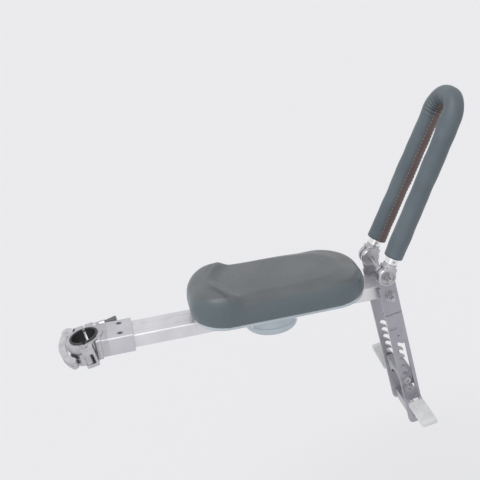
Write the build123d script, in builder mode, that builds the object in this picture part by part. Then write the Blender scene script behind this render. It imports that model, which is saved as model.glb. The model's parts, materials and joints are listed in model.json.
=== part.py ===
"""Small child seat: a hinged rear clamp with a quick release, a padded seat that slides on a rail,
and a slotted front bracket that carries a padded loop handle and two folding footrests.

Frame: +X forward along the rail, +Y to the child's left, +Z up from the rail.
Origin: centre of the clamp's bore. Millimetres.
"""
import math
import os

from build123d import *

os.makedirs("parts", exist_ok=True)

# Rear clamp
clamp_bore = 31.8
clamp_lean = 9.5  # degrees that the bore leans back from the rail's normal
liner_wall = 1.4
liner_lip = 1.2
collar_wall = 6.8
collar_height = 28.0
collar_groove_depth = 1.2
collar_groove_height = 9.0
half_gap = 3.0
hinge_barrel_radius = 4.4
hinge_lug_radius = 5.5
hinge_lug_corner = 1.5
hinge_window = 7.4  # opening in front of the hinge's middle barrel
hinge_barrel_out = 3.0  # hinge pin's axis outside the collar's outer face
hinge_web = 10.0
hinge_pin_diameter = 4.0
hinge_pin_head = 1.0
hinge_split_top = 4.0
hinge_split_bottom = -10.0

# Quick release
skewer_diameter = 4.0
skewer_rise = 7.0  # above the collar's middle
skewer_eye_radius = 4.6
ear_radius = 6.5
ear_depth = 10.0
boss_radius = 4.6
boss_length = 16.0
skewer_nut_radius = 4.6
skewer_nut_small_radius = 3.4
skewer_nut_length = 15.0
skewer_nut_flutes = 8
skewer_nut_flute_radius = 0.9
skewer_nut_gap = 1.0  # between the nut and the rail's sleeve
cam_washer_thickness = 2.4
cam_washer_radius = 6.3
cam_radius = 7.5
cam_offset = 1.0
cam_pin_diameter = 5.0
cam_slot = 6.4
lever_height = 12.0
lever_thickness = 8.4
lever_tail_radius = 4.6
lever_groove_depth = 1.0
lever_groove_height = 4.5
lever_drop = 14.0  # degrees that the lever's plane falls towards the right side
lever_reach = 31.0  # behind the bore's axis
lever_tail_back = 20.15
lever_tail_right = 24.0

# Rail and its rear sleeve
rail_width = 40.0
rail_height = 18.0
rail_wall = 2.2
rail_mid_z = 3.4
rail_edge_radius = 2.0
rail_groove_width = 2.4
rail_groove_depth = 0.6
rail_groove_spacing = 16.0
neck_start = 12.0
neck_end = 27.0
neck_rib_start = 14.0
neck_rib_thickness = 4.0
neck_rib_proud = 1.6
tongue_length = 8.0
sleeve_wall = 3.0
sleeve_length = 31.5
sleeve_screw_diameter = 4.0
sleeve_screw_length = 12.0
sleeve_screw_head_radius = 3.6
sleeve_screw_head_height = 1.8
sleeve_screw_spacing = 25.5
sleeve_screw_setback = 15.5  # from the sleeve's front end
end_plug_length = 26.0
end_plug_cap = 2.0

# Sliding seat
seat_centre_x = 246.0
seat_length = 226.0
seat_width = 120.0
seat_corner = 46.0
seat_back_slide = 65.0
seat_front_slide = 5.0
base_wall = 3.0
base_inset = 3.5
base_edge_radius = 1.5
cushion_height = 30.0
hump_rise = 10.0
hump_length = 66.0
hump_crest = 38.0  # from the cushion's rear end
front_fall = 4.0
valley_round = 22.0
cushion_top_round = 13.0
cushion_bottom_round = 4.0
slider_thickness = 4.0
slider_wall = 3.0
slider_flange = 9.0
slider_back_setback = 5.0  # ahead of the cushion's rear end
slider_front_setback = 40.0  # behind the cushion's front end
seat_screw_diameter = 4.0
seat_screw_head_radius = 4.0
seat_screw_head_height = 2.0
seat_screw_bite = 8.0  # into the cushion's board
seat_screw_spacing_x = 130.0
seat_screw_spacing_y = 24.0
stud_x = 236.0
stud_diameter = 8.0
stud_slot_play = 1.0
stud_head_radius = 8.0
stud_head_height = 2.6
shoe_length = 60.0
shoe_thickness = 2.5
shoe_flange = 3.0
knob_bottom_radius = 33.0
knob_top_radius = 36.0
knob_height = 11.5
knob_edge_radius = 3.5
knob_insert_radius = 7.5
knob_insert_height = 9.0
cheek_side_gap = 0.5  # between the base's cheeks and the slider

# Front bracket
rail_bolt_x = 387.3
bracket_lean = 9.0  # degrees that the side plates' lower ends lean forward
plate_spacing = 63.0  # between the middles of the two plates
plate_thickness = 4.0
plate_width = 21.0
plate_shoulder = 1.8  # lower part's extra width at the rear
plate_shoulder_rise = 14.0  # above the rail bolt
plate_shoulder_corner = 1.5
plate_bottom_corner = 6.0
pivot_rise = 30.5  # handle pivot above the rail bolt, along the plates
plate_drop = 204.0  # plates' lower end below the rail bolt
plate_line_drop = 27.0
plate_line_width = 1.4
plate_line_depth = 1.0
plate_oval_drop = 49.0
plate_oval_back = 6.0
plate_oval_length = 10.0
plate_oval_height = 3.6
plate_button_drop = 56.5
plate_button_ahead = 5.2
plate_button_radius = 2.0
plate_button_proud = 0.8
plate_eyelet_drop = 61.0
plate_eyelet_back = 1.0
plate_eyelet_radius = 1.6
slot_top = 74.5
slot_width = 4.7
slot_forward = 3.35
slot_corner = 1.0
tooth_count = 8
tooth_pitch = 11.6
notch_width = 6.3
notch_depth = 7.8
notch_slant = 40.0
bolt_diameter = 6.0
bolt_head_radius = 5.2
bolt_head_height = 5.5
bolt_socket = 4.5
nut_across = 10.0
nut_thickness = 5.0
nut_flange_radius = 6.8
nut_flange = 1.2
thread_proud = 6.5  # long bolts' threads beyond their nuts
spacer_radius = 7.0
saddle_notch = 5  # notch that holds the saddle's bolt, counted from 0 at the top
saddle_depth = 18.0
saddle_rise = 5.5  # saddle's top above its bolt
saddle_crown_drop = 7.0  # from the saddle's bolt down to the top of its arch
saddle_shoulder_drop = 3.0
saddle_cheek_drop = 16.0
saddle_corner = 4.0
saddle_cheek_width = 47.0
saddle_bore = 39.0
saddle_pad_thickness = 1.5
cross_bar_height = 16.0
cross_bar_depth = 16.0
cross_bar_rise = 1.0  # bar's underside above the plates' lower end
cross_screw_diameter = 5.0
cross_screw_bite = 16.0
cross_screw_head_radius = 4.4
cross_screw_head_height = 3.0

# Footrests
foot_notch = 6  # notch that holds the footrest's bolt
foot_bolt_head_height = 2.8
foot_bracket_thickness = 3.0
foot_bracket_width = 17.0
foot_tongue_radius = 6.4
foot_hinge_drop = 162.0
foot_hinge_out = 9.6  # hinge axis outside the plates' outer faces
foot_barrel_radius = 3.4
foot_barrel_length = 7.0
foot_pin_diameter = 3.0
foot_length = 54.0
foot_width = 21.0
foot_setback = 1.75  # footrest's middle behind its hinge's
foot_thickness = 4.6
foot_corner = 3.0
foot_ridge_count = 9
foot_ridge_pitch = 4.4
foot_ridge_width = 2.0
foot_ridge_height = 0.6
left_foot_tilt = 10.0  # degrees that the left footrest is folded up

# Handle
handle_lean = 26.4  # degrees forward of the rail's normal
handle_reach = 232.4  # pivot to the middle of the top bar
handle_top_spacing = 54.4
handle_bend = 25.0
handle_tube_diameter = 16.0
handle_tube_wall = 1.5
grip_diameter = 24.8
grip_start = 25.0  # from the pivot
knuckle_width = 18.0
knuckle_radius = 12.0
knuckle_shoulder = 13.0
knuckle_collar = 4.0
knuckle_plug = 14.0
knuckle_edge = 2.0
knuckle_recess_radius = 9.0
knuckle_recess = 1.5
knuckle_pin_diameter = 3.0
knuckle_pin_rise = 4.5  # above the knuckle's collar

# Clearances
fit = 0.05
slide_fit = 0.15
running_gap = 0.3

# Sizes that follow from those above
liner_radius = clamp_bore / 2
bore_radius = liner_radius + liner_wall + fit
collar_radius = bore_radius + collar_wall
hinge_y = collar_radius + hinge_barrel_out
sleeve_width = rail_width + 2 * (sleeve_wall + slide_fit)
sleeve_height = rail_height + 2 * (sleeve_wall + slide_fit)
sleeve_end = neck_end + sleeve_length
skewer_y = sleeve_width / 2 + skewer_nut_radius + skewer_nut_gap
ear_face = half_gap / 2 + ear_depth
lever_pivot_x = -(ear_face + cam_washer_thickness + cam_radius + cam_offset + running_gap)
rail_start = neck_end + tongue_length + running_gap
rail_end = rail_bolt_x + plate_width / 2
rail_top = rail_mid_z + rail_height / 2
rail_bottom = rail_mid_z - rail_height / 2
sleeve_screw_x = sleeve_end - sleeve_screw_setback
slider_bottom = rail_top + slide_fit
slider_top = slider_bottom + slider_thickness
slider_outer = rail_width + 2 * (slide_fit + slider_wall)
slider_start = seat_centre_x - seat_length / 2 + slider_back_setback
slider_end = seat_centre_x + seat_length / 2 - slider_front_setback
base_bottom = rail_top + running_gap
base_top = slider_top + base_wall
cushion_top = base_top + cushion_height
shoe_top = rail_bottom - slide_fit
knob_top = shoe_top - shoe_thickness - running_gap
plate_inner = (plate_spacing - plate_thickness) / 2
plate_outer = (plate_spacing + plate_thickness) / 2
knuckle_inner = (plate_spacing - knuckle_width) / 2
knuckle_outer = (plate_spacing + knuckle_width) / 2
notch_end = slot_forward - slot_width / 2 - notch_depth + notch_width / 2
notch_climb = (slot_forward - notch_end) * math.tan(math.radians(notch_slant))
first_notch_drop = slot_top + tooth_pitch / 2 - notch_climb
saddle_bolt_drop = first_notch_drop + saddle_notch * tooth_pitch
foot_bolt_drop = first_notch_drop + foot_notch * tooth_pitch
saddle_bore_drop = saddle_bolt_drop + saddle_crown_drop + saddle_bore / 2
cross_bar_drop = plate_drop - cross_bar_rise - cross_bar_height / 2
tube_foot = knuckle_shoulder + knuckle_collar


def tilted(angle):
    """Direction in the XZ plane that points forward and rises by angle degrees."""
    return Vector(math.cos(math.radians(angle)), 0, math.sin(math.radians(angle)))


# Planes that the pieces are drawn on
clamp_plane = Plane(origin=(0, 0, 0), x_dir=tilted(clamp_lean), z_dir=tilted(clamp_lean + 90))
ear_plane = Plane(origin=(0, 0, 0), x_dir=(0, 1, 0), z_dir=tilted(clamp_lean))
lever_normal = (clamp_plane.z_dir * math.cos(math.radians(lever_drop))
                - clamp_plane.y_dir * math.sin(math.radians(lever_drop)))
lever_plane = Plane(
    origin=clamp_plane.from_local_coords((lever_pivot_x, skewer_y, skewer_rise)),
    x_dir=clamp_plane.x_dir,
    z_dir=lever_normal,
)
rail_section = Plane(origin=(0, 0, rail_mid_z), x_dir=(0, 1, 0), z_dir=(1, 0, 0))
bracket_plane = Plane(origin=(rail_bolt_x, 0, rail_mid_z), x_dir=tilted(bracket_lean), z_dir=(0, -1, 0))
bracket_section = Plane(origin=bracket_plane.origin, x_dir=(0, 1, 0), z_dir=tilted(bracket_lean))
pivot = bracket_plane.from_local_coords((0, pivot_rise, 0))
handle_plane = Plane(origin=pivot, x_dir=(0, 1, 0), z_dir=tilted(-handle_lean))
knuckle_plane = Plane(origin=pivot, x_dir=tilted(-handle_lean), z_dir=(0, -1, 0))


def finish(builder, name):
    """Label a finished piece and write it to its own file."""
    builder.part.label = name
    export_step(builder.part, f"parts/{name}.step")


def bolt_on(plane, places, length, diameter, head_radius, head_height):
    """Socket-head bolts with their heads on the plane and their shanks behind it."""
    with BuildPart() as bolts:
        with BuildSketch(plane):
            with Locations(*places):
                Circle(head_radius)
                RegularPolygon(bolt_socket / 2, 6, major_radius=False, mode=Mode.SUBTRACT)
        extrude(amount=head_height)
        with BuildSketch(plane):
            with Locations(*places):
                Circle(head_radius)
        extrude(amount=head_height / 3)
        with BuildSketch(plane):
            with Locations(*places):
                Circle(diameter / 2)
        extrude(amount=-length)
    return bolts


def nut_on(plane, place, height, flange=0.0):
    """Hexagon nut that stands on the plane, on its back if the height is negative."""
    with BuildPart() as nut:
        with BuildSketch(plane):
            with Locations(place):
                RegularPolygon(nut_across / 2, 6, major_radius=False)
        extrude(amount=height)
        if flange:
            with BuildSketch(plane):
                with Locations(place):
                    Circle(nut_flange_radius)
            extrude(amount=flange)
        with BuildSketch(plane):
            with Locations(place):
                Circle(bolt_diameter / 2 + fit)
        extrude(amount=height, mode=Mode.SUBTRACT)
    return nut


def other_side(builder):
    """A piece's mirror image, on the other side of the middle."""
    with BuildPart() as mirrored:
        mirror(builder.part, about=Plane.XZ)
    return mirrored


def both_sides(builder):
    """A piece of the right side and its mirror image on the left, as one group."""
    with BuildPart() as pair:
        add(builder.part)
        mirror(about=Plane.XZ)
    return pair


# Front half of the clamp, with the neck that carries the rail
with BuildPart() as clamp_front_half:
    with BuildSketch(clamp_plane.offset(-collar_height / 2)):
        Circle(collar_radius)
        with Locations((half_gap / 2, 0)):
            Rectangle(2 * collar_radius, 2 * collar_radius, align=(Align.MIN, Align.CENTER),
                      mode=Mode.INTERSECT)
    extrude(amount=collar_height)
    with BuildSketch(clamp_plane.offset(-collar_groove_height / 2)):
        Circle(2 * collar_radius)
        Circle(collar_radius - collar_groove_depth, mode=Mode.SUBTRACT)
    extrude(amount=collar_groove_height, mode=Mode.SUBTRACT)
    with BuildSketch(clamp_plane):
        with Locations((0, -hinge_y)):
            RectangleRounded(2 * hinge_lug_radius, 2 * hinge_lug_radius, hinge_lug_corner)
            Rectangle(hinge_web, 2 * hinge_lug_radius, align=(Align.MIN, Align.CENTER))
    extrude(amount=collar_height / 2, both=True)
    with BuildSketch(clamp_plane.offset(hinge_split_bottom)):
        with Locations((hinge_window, -hinge_y)):
            Rectangle(2 * hinge_window, 2 * (hinge_lug_radius + running_gap),
                      align=(Align.MAX, Align.CENTER))
    extrude(amount=hinge_split_top - hinge_split_bottom, mode=Mode.SUBTRACT)
    with BuildSketch(clamp_plane):
        with Locations((0, -hinge_y)):
            Circle(hinge_pin_diameter / 2 + fit)
    extrude(amount=collar_height / 2, both=True, mode=Mode.SUBTRACT)
    with BuildSketch(ear_plane.offset(half_gap / 2)):
        with Locations((skewer_y, skewer_rise)):
            Circle(ear_radius)
            Rectangle(skewer_y - bore_radius, 2 * ear_radius, align=(Align.MAX, Align.CENTER))
    extrude(amount=ear_depth)
    with BuildSketch(ear_plane.offset(ear_face)):
        with Locations((skewer_y, skewer_rise)):
            Circle(boss_radius)
    extrude(amount=boss_length)
    with BuildSketch(rail_section.offset(neck_start)):
        RectangleRounded(sleeve_width, sleeve_height, rail_edge_radius)
    extrude(amount=neck_end - neck_start)
    with BuildSketch(rail_section.offset(neck_rib_start)):
        RectangleRounded(sleeve_width + 2 * neck_rib_proud, sleeve_height + 2 * neck_rib_proud,
                         rail_edge_radius)
    extrude(amount=neck_rib_thickness)
    with BuildSketch(rail_section.offset(neck_end)):
        RectangleRounded(rail_width, rail_height, rail_edge_radius)
    extrude(amount=tongue_length)
    with BuildSketch(clamp_plane):
        Circle(bore_radius)
    extrude(amount=2 * collar_height, both=True, mode=Mode.SUBTRACT)
    with BuildSketch(clamp_plane.offset(collar_height / 2)):
        Circle(bore_radius + liner_lip + fit)
    extrude(amount=collar_height, mode=Mode.SUBTRACT)
    with BuildSketch(ear_plane):
        with Locations((skewer_y, skewer_rise)):
            Circle(skewer_diameter / 2 + slide_fit)
    extrude(amount=ear_face + boss_length, mode=Mode.SUBTRACT)
finish(clamp_front_half, "clamp_front_half")

# Rear half of the clamp, hinged at the right side
with BuildPart() as clamp_rear_half:
    with BuildSketch(clamp_plane.offset(-collar_height / 2)):
        Circle(collar_radius)
        with Locations((-half_gap / 2, 0)):
            Rectangle(2 * collar_radius, 2 * collar_radius, align=(Align.MAX, Align.CENTER),
                      mode=Mode.INTERSECT)
    extrude(amount=collar_height)
    with BuildSketch(clamp_plane.offset(-collar_groove_height / 2)):
        Circle(2 * collar_radius)
        Circle(collar_radius - collar_groove_depth, mode=Mode.SUBTRACT)
    extrude(amount=collar_groove_height, mode=Mode.SUBTRACT)
    for low, high in ((hinge_split_top, collar_height / 2), (-collar_height / 2, hinge_split_bottom)):
        with BuildSketch(clamp_plane.offset(low)):
            with Locations((0, -hinge_y)):
                Rectangle(2 * (hinge_lug_radius + running_gap), 2 * (hinge_lug_radius + running_gap))
        extrude(amount=high - low, mode=Mode.SUBTRACT)
    with BuildSketch(clamp_plane.offset(hinge_split_bottom + running_gap)):
        with Locations((0, -hinge_y)):
            Circle(hinge_barrel_radius)
            Rectangle(hinge_web, hinge_web, align=(Align.MAX, Align.MIN))
            Circle(hinge_pin_diameter / 2 + fit, mode=Mode.SUBTRACT)
    extrude(amount=hinge_split_top - hinge_split_bottom - 2 * running_gap)
    with BuildSketch(ear_plane.offset(-half_gap / 2)):
        with Locations((skewer_y, skewer_rise)):
            Circle(ear_radius)
            Rectangle(skewer_y - bore_radius, 2 * ear_radius, align=(Align.MAX, Align.CENTER))
    extrude(amount=-ear_depth)
    with BuildSketch(clamp_plane):
        Circle(bore_radius)
    extrude(amount=collar_height, both=True, mode=Mode.SUBTRACT)
    with BuildSketch(ear_plane):
        with Locations((skewer_y, skewer_rise)):
            Circle(skewer_diameter / 2 + slide_fit)
    extrude(amount=-ear_face, mode=Mode.SUBTRACT)
finish(clamp_rear_half, "clamp_rear_half")

# Hinge pin of the clamp
with BuildPart() as clamp_hinge_pin:
    with BuildSketch(clamp_plane.offset(-collar_height / 2)):
        with Locations((0, -hinge_y)):
            Circle(hinge_pin_diameter / 2)
    extrude(amount=collar_height)
    with BuildSketch(clamp_plane.offset(collar_height / 2)):
        with Locations((0, -hinge_y)):
            Circle(hinge_pin_diameter)
    extrude(amount=hinge_pin_head)
finish(clamp_hinge_pin, "clamp_hinge_pin")

# Plastic liners inside the clamp
for liner_name, liner_edge in (("front_liner", Align.MIN), ("rear_liner", Align.MAX)):
    liner_side = 1 if liner_edge == Align.MIN else -1
    with BuildPart() as liner:
        for low, height, radius in (
            (-collar_height / 2, collar_height, bore_radius - fit),
            (-collar_height / 2 - liner_lip, liner_lip, bore_radius + liner_lip),
            (collar_height / 2, liner_lip, bore_radius + liner_lip),
        ):
            with BuildSketch(clamp_plane.offset(low)):
                Circle(radius)
                Circle(liner_radius, mode=Mode.SUBTRACT)
                with Locations((liner_side * half_gap / 2, 0)):
                    Rectangle(2 * radius, 2 * radius, align=(liner_edge, Align.CENTER),
                              mode=Mode.INTERSECT)
            extrude(amount=height)
    finish(liner, liner_name)

# Skewer with the eye that holds the cam's pin
with BuildPart() as skewer:
    with BuildSketch(lever_plane):
        Circle(skewer_eye_radius)
    extrude(amount=cam_slot / 2 - running_gap, both=True)
    with BuildSketch(ear_plane.offset(lever_pivot_x)):
        with Locations((skewer_y, skewer_rise)):
            Circle(skewer_diameter / 2)
    extrude(amount=ear_face + boss_length + skewer_nut_length - lever_pivot_x)
    with BuildSketch(lever_plane):
        Circle(cam_pin_diameter / 2 + fit)
    extrude(amount=cam_slot, both=True, mode=Mode.SUBTRACT)
finish(skewer, "skewer")

# Fluted adjusting nut on the skewer's front end
with BuildPart() as skewer_nut:
    with BuildSketch(ear_plane.offset(ear_face + boss_length)):
        with Locations((skewer_y, skewer_rise)):
            Circle(skewer_nut_small_radius)
    with BuildSketch(ear_plane.offset(ear_face + boss_length + skewer_nut_length)):
        with Locations((skewer_y, skewer_rise)):
            Circle(skewer_nut_radius)
    loft()
    with BuildSketch(ear_plane.offset(ear_face + boss_length + skewer_nut_length / 3)):
        with Locations((skewer_y, skewer_rise)):
            with PolarLocations(skewer_nut_radius + skewer_nut_flute_radius / 2, skewer_nut_flutes):
                Circle(skewer_nut_flute_radius)
            Circle(skewer_diameter / 2 + fit)
    extrude(amount=skewer_nut_length, mode=Mode.SUBTRACT)
    with BuildSketch(ear_plane.offset(ear_face + boss_length)):
        with Locations((skewer_y, skewer_rise)):
            Circle(skewer_diameter / 2 + fit)
    extrude(amount=skewer_nut_length, mode=Mode.SUBTRACT)
finish(skewer_nut, "skewer_nut")

# Washer that the cam presses on
with BuildPart() as cam_washer:
    with BuildSketch(ear_plane.offset(-ear_face)):
        with Locations((skewer_y, skewer_rise)):
            Circle(cam_washer_radius)
            Circle(skewer_diameter / 2 + slide_fit, mode=Mode.SUBTRACT)
    extrude(amount=-cam_washer_thickness)
finish(cam_washer, "cam_washer")

# Cam lever that wraps round the back of the collar
with BuildPart() as cam_lever:
    with BuildSketch(lever_plane):
        with BuildLine():
            lever_arc = ThreePointArc(
                (0, 0),
                (-lever_reach - lever_pivot_x, -skewer_y),
                (-lever_tail_back - lever_pivot_x, -skewer_y - lever_tail_right),
            )
        trace(line_width=lever_thickness)
        with Locations((-lever_tail_back - lever_pivot_x, -skewer_y - lever_tail_right)):
            Circle(lever_tail_radius)
        with Locations((cam_offset, 0)):
            Circle(cam_radius)
    extrude(amount=lever_height / 2, both=True)
    with BuildSketch(lever_plane):
        with Locations(lever_arc.arc_center):
            Circle(lever_arc.radius + lever_thickness)
            Circle(lever_arc.radius + lever_thickness / 2 - lever_groove_depth, mode=Mode.SUBTRACT)
        with Locations((0, -2 * cam_radius)):
            Rectangle(4 * lever_reach, 2 * skewer_y + lever_tail_right, align=(Align.CENTER, Align.MAX),
                      mode=Mode.INTERSECT)
    extrude(amount=lever_groove_height / 2, both=True, mode=Mode.SUBTRACT)
    with BuildSketch(lever_plane):
        Circle(cam_radius + cam_offset + running_gap)
    extrude(amount=cam_slot / 2, both=True, mode=Mode.SUBTRACT)
    with BuildSketch(lever_plane):
        Circle(cam_pin_diameter / 2 + fit)
    extrude(amount=lever_height, both=True, mode=Mode.SUBTRACT)
finish(cam_lever, "cam_lever")

# Pin that joins the cam to the skewer
with BuildPart() as cam_pin:
    with BuildSketch(lever_plane):
        Circle(cam_pin_diameter / 2)
    extrude(amount=lever_height / 2, both=True)
finish(cam_pin, "cam_pin")

# Sleeve that joins the rail to the clamp's neck
with BuildPart() as rail_sleeve:
    with BuildSketch(rail_section.offset(neck_end)):
        RectangleRounded(sleeve_width, sleeve_height, rail_edge_radius)
        Rectangle(rail_width + 2 * slide_fit, rail_height + 2 * slide_fit, mode=Mode.SUBTRACT)
    extrude(amount=sleeve_length)
    with Locations((sleeve_screw_x, 0, rail_mid_z + sleeve_height / 2)):
        with GridLocations(0, sleeve_screw_spacing, 1, 2):
            CounterBoreHole(
                radius=sleeve_screw_diameter / 2 + fit,
                counter_bore_radius=sleeve_screw_head_radius + slide_fit,
                counter_bore_depth=sleeve_screw_head_height,
                depth=sleeve_height / 2,
            )
finish(rail_sleeve, "rail_sleeve")

# Two screws through the sleeve into the rail
sleeve_screw_seat = rail_mid_z + sleeve_height / 2 - sleeve_screw_head_height
sleeve_screws = bolt_on(
    Plane.XY.offset(sleeve_screw_seat),
    [(sleeve_screw_x, -sleeve_screw_spacing / 2), (sleeve_screw_x, sleeve_screw_spacing / 2)],
    sleeve_screw_length,
    sleeve_screw_diameter,
    sleeve_screw_head_radius,
    sleeve_screw_head_height,
)
finish(sleeve_screws, "sleeve_screws")

# Extruded rail, with shallow grooves on top and a slot for the seat's stud
with BuildPart() as rail:
    with BuildSketch(rail_section.offset(rail_start)):
        RectangleRounded(rail_width, rail_height, rail_edge_radius)
        Rectangle(rail_width - 2 * rail_wall, rail_height - 2 * rail_wall, mode=Mode.SUBTRACT)
        with Locations((0, rail_height / 2)):
            with GridLocations(rail_groove_spacing, 0, 2, 1):
                Rectangle(rail_groove_width, 2 * rail_groove_depth, mode=Mode.SUBTRACT)
    extrude(amount=rail_end - rail_start)
    with BuildSketch(Plane.XY):
        with Locations((stud_x + (seat_front_slide - seat_back_slide) / 2, 0)):
            SlotCenterToCenter(seat_front_slide + seat_back_slide, stud_diameter + stud_slot_play)
    extrude(amount=rail_height, both=True, mode=Mode.SUBTRACT)
    with Locations((sleeve_screw_x, 0, rail_top)):
        with GridLocations(0, sleeve_screw_spacing, 1, 2):
            Hole(sleeve_screw_diameter / 2 + fit, depth=sleeve_screw_length)
    with BuildSketch(bracket_plane):
        Circle(bolt_diameter / 2 + fit)
    extrude(amount=rail_width, both=True, mode=Mode.SUBTRACT)
finish(rail, "rail")

# Plug that closes the rail's front end and backs the rail bolt
with BuildPart() as rail_end_plug:
    with BuildSketch(rail_section.offset(rail_end)):
        Rectangle(rail_width - 2 * (rail_wall + slide_fit), rail_height - 2 * (rail_wall + slide_fit))
    extrude(amount=-end_plug_length)
    with BuildSketch(rail_section.offset(rail_end)):
        RectangleRounded(rail_width, rail_height, rail_edge_radius)
    extrude(amount=end_plug_cap)
    with BuildSketch(bracket_plane):
        Circle(bolt_diameter / 2 + fit)
    extrude(amount=rail_width, both=True, mode=Mode.SUBTRACT)
finish(rail_end_plug, "rail_end_plug")

# Slider: a channel that rides on the rail under the seat
with BuildPart() as seat_slider:
    with BuildSketch(rail_section.offset(slider_start)):
        with Locations((0, slider_top - rail_mid_z)):
            Rectangle(slider_outer, slider_thickness + slide_fit + slider_flange,
                      align=(Align.CENTER, Align.MAX))
        with Locations((0, slider_bottom - rail_mid_z)):
            Rectangle(rail_width + 2 * slide_fit, rail_height, align=(Align.CENTER, Align.MAX),
                      mode=Mode.SUBTRACT)
    extrude(amount=slider_end - slider_start)
    with Locations((stud_x, 0, slider_top)):
        CounterBoreHole(stud_diameter / 2 + fit, stud_head_radius + slide_fit, stud_head_height)
    with BuildSketch(Plane.XY.offset(slider_bottom)):
        with Locations((stud_x, 0)):
            with GridLocations(seat_screw_spacing_x, seat_screw_spacing_y, 2, 2):
                Circle(seat_screw_head_radius + slide_fit)
    extrude(amount=seat_screw_head_height, mode=Mode.SUBTRACT)
    with BuildSketch(Plane.XY.offset(slider_bottom)):
        with Locations((stud_x, 0)):
            with GridLocations(seat_screw_spacing_x, seat_screw_spacing_y, 2, 2):
                Circle(seat_screw_diameter / 2 + fit)
    extrude(amount=slider_thickness, mode=Mode.SUBTRACT)
finish(seat_slider, "seat_slider")

# Seat base: a shallow tray turned upside down, with two cheeks that hide the knob's gap
with BuildPart() as seat_base:
    with BuildSketch(Plane.XY.offset(base_bottom)):
        with Locations((seat_centre_x, 0)):
            RectangleRounded(seat_length - 2 * base_inset, seat_width - 2 * base_inset,
                             seat_corner - base_inset)
    extrude(amount=base_top - base_bottom)
    fillet(seat_base.faces().sort_by(Axis.Z)[0].edges(), radius=base_edge_radius)
    with BuildSketch(Plane.XY.offset(base_bottom)):
        with Locations((seat_centre_x, 0)):
            RectangleRounded(seat_length - 2 * (base_inset + base_wall),
                             seat_width - 2 * (base_inset + base_wall),
                             seat_corner - base_inset - base_wall)
    extrude(amount=slider_top - base_bottom, mode=Mode.SUBTRACT)
    with BuildSketch(Plane.XY.offset(base_bottom)):
        with Locations((slider_start, 0)):
            Rectangle(slider_end - slider_start, slider_outer + 2 * running_gap,
                      align=(Align.MIN, Align.CENTER))
    extrude(amount=slider_top - base_bottom, mode=Mode.SUBTRACT)
    with BuildSketch(Plane.XY.offset(slider_top)):
        with Locations((stud_x, 0)):
            with GridLocations(seat_screw_spacing_x, seat_screw_spacing_y, 2, 2):
                Circle(seat_screw_diameter / 2 + fit)
    extrude(amount=base_wall, mode=Mode.SUBTRACT)
    with BuildSketch(Plane.XY.offset(knob_top + running_gap)):
        with Locations((stud_x, 0)):
            Circle(knob_top_radius)
            Rectangle(2 * knob_top_radius, slider_outer + 2 * cheek_side_gap, mode=Mode.SUBTRACT)
    extrude(amount=slider_top - knob_top - running_gap)
finish(seat_base, "seat_base")

# Cushion: rounded plan, with a hump that stops the child sliding back
cushion_rear = seat_centre_x - seat_length / 2
cushion_front = seat_centre_x + seat_length / 2
with BuildPart() as seat_cushion:
    with BuildSketch(Plane.XY.offset(base_top)):
        with Locations((seat_centre_x, 0)):
            RectangleRounded(seat_length, seat_width, seat_corner)
    extrude(amount=cushion_height + 2 * hump_rise)
    with BuildSketch(Plane.XZ):
        with BuildLine():
            hump = ThreePointArc(
                (cushion_rear, cushion_top + hump_rise / 2),
                (cushion_rear + hump_crest, cushion_top + hump_rise),
                (cushion_rear + hump_length, cushion_top),
            )
            lap = ThreePointArc(
                hump @ 1,
                ((cushion_rear + hump_length + cushion_front) / 2, cushion_top + front_fall / 4),
                (cushion_front, cushion_top - front_fall),
            )
            Polyline(lap @ 1, (cushion_front, base_top), (cushion_rear, base_top), hump @ 0)
        make_face()
    extrude(amount=seat_width, both=True, mode=Mode.INTERSECT)
    valley = seat_cushion.edges().filter_by(Axis.Y).filter_by_position(
        Axis.X, cushion_rear + hump_length - running_gap, cushion_rear + hump_length + running_gap)
    fillet(valley, radius=valley_round)
    top_faces = seat_cushion.faces().filter_by(lambda face: face.normal_at().Z > 0.5)
    side_faces = seat_cushion.faces().filter_by(lambda face: abs(face.normal_at().Z) < 0.1)
    fillet(top_faces.edges() & side_faces.edges(), radius=cushion_top_round)
    fillet(seat_cushion.faces().sort_by(Axis.Z)[0].edges(), radius=cushion_bottom_round)
    with BuildSketch(Plane.XY.offset(base_top)):
        with Locations((stud_x, 0)):
            with GridLocations(seat_screw_spacing_x, seat_screw_spacing_y, 2, 2):
                Circle(seat_screw_diameter / 2 + fit)
    extrude(amount=seat_screw_bite, mode=Mode.SUBTRACT)
finish(seat_cushion, "seat_cushion")

# Screws that hold the slider, the base and the cushion together, put in from below
seat_screw_plane = Plane(
    origin=(stud_x, 0, slider_bottom + seat_screw_head_height), x_dir=(1, 0, 0), z_dir=(0, 0, -1))
seat_screws = bolt_on(
    seat_screw_plane,
    [(x * seat_screw_spacing_x / 2, y * seat_screw_spacing_y / 2) for x in (-1, 1) for y in (-1, 1)],
    slider_thickness - seat_screw_head_height + base_wall + seat_screw_bite,
    seat_screw_diameter,
    seat_screw_head_radius,
    seat_screw_head_height,
)
finish(seat_screws, "seat_screws")

# Stud that reaches through the rail's slot to the knob
with BuildPart() as clamp_stud:
    with BuildSketch(Plane.XY.offset(slider_top)):
        with Locations((stud_x, 0)):
            Circle(stud_head_radius)
    extrude(amount=-stud_head_height)
    with BuildSketch(Plane.XY.offset(slider_top)):
        with Locations((stud_x, 0)):
            Circle(stud_diameter / 2)
    extrude(amount=knob_top - knob_insert_height - slider_top)
finish(clamp_stud, "clamp_stud")

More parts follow.
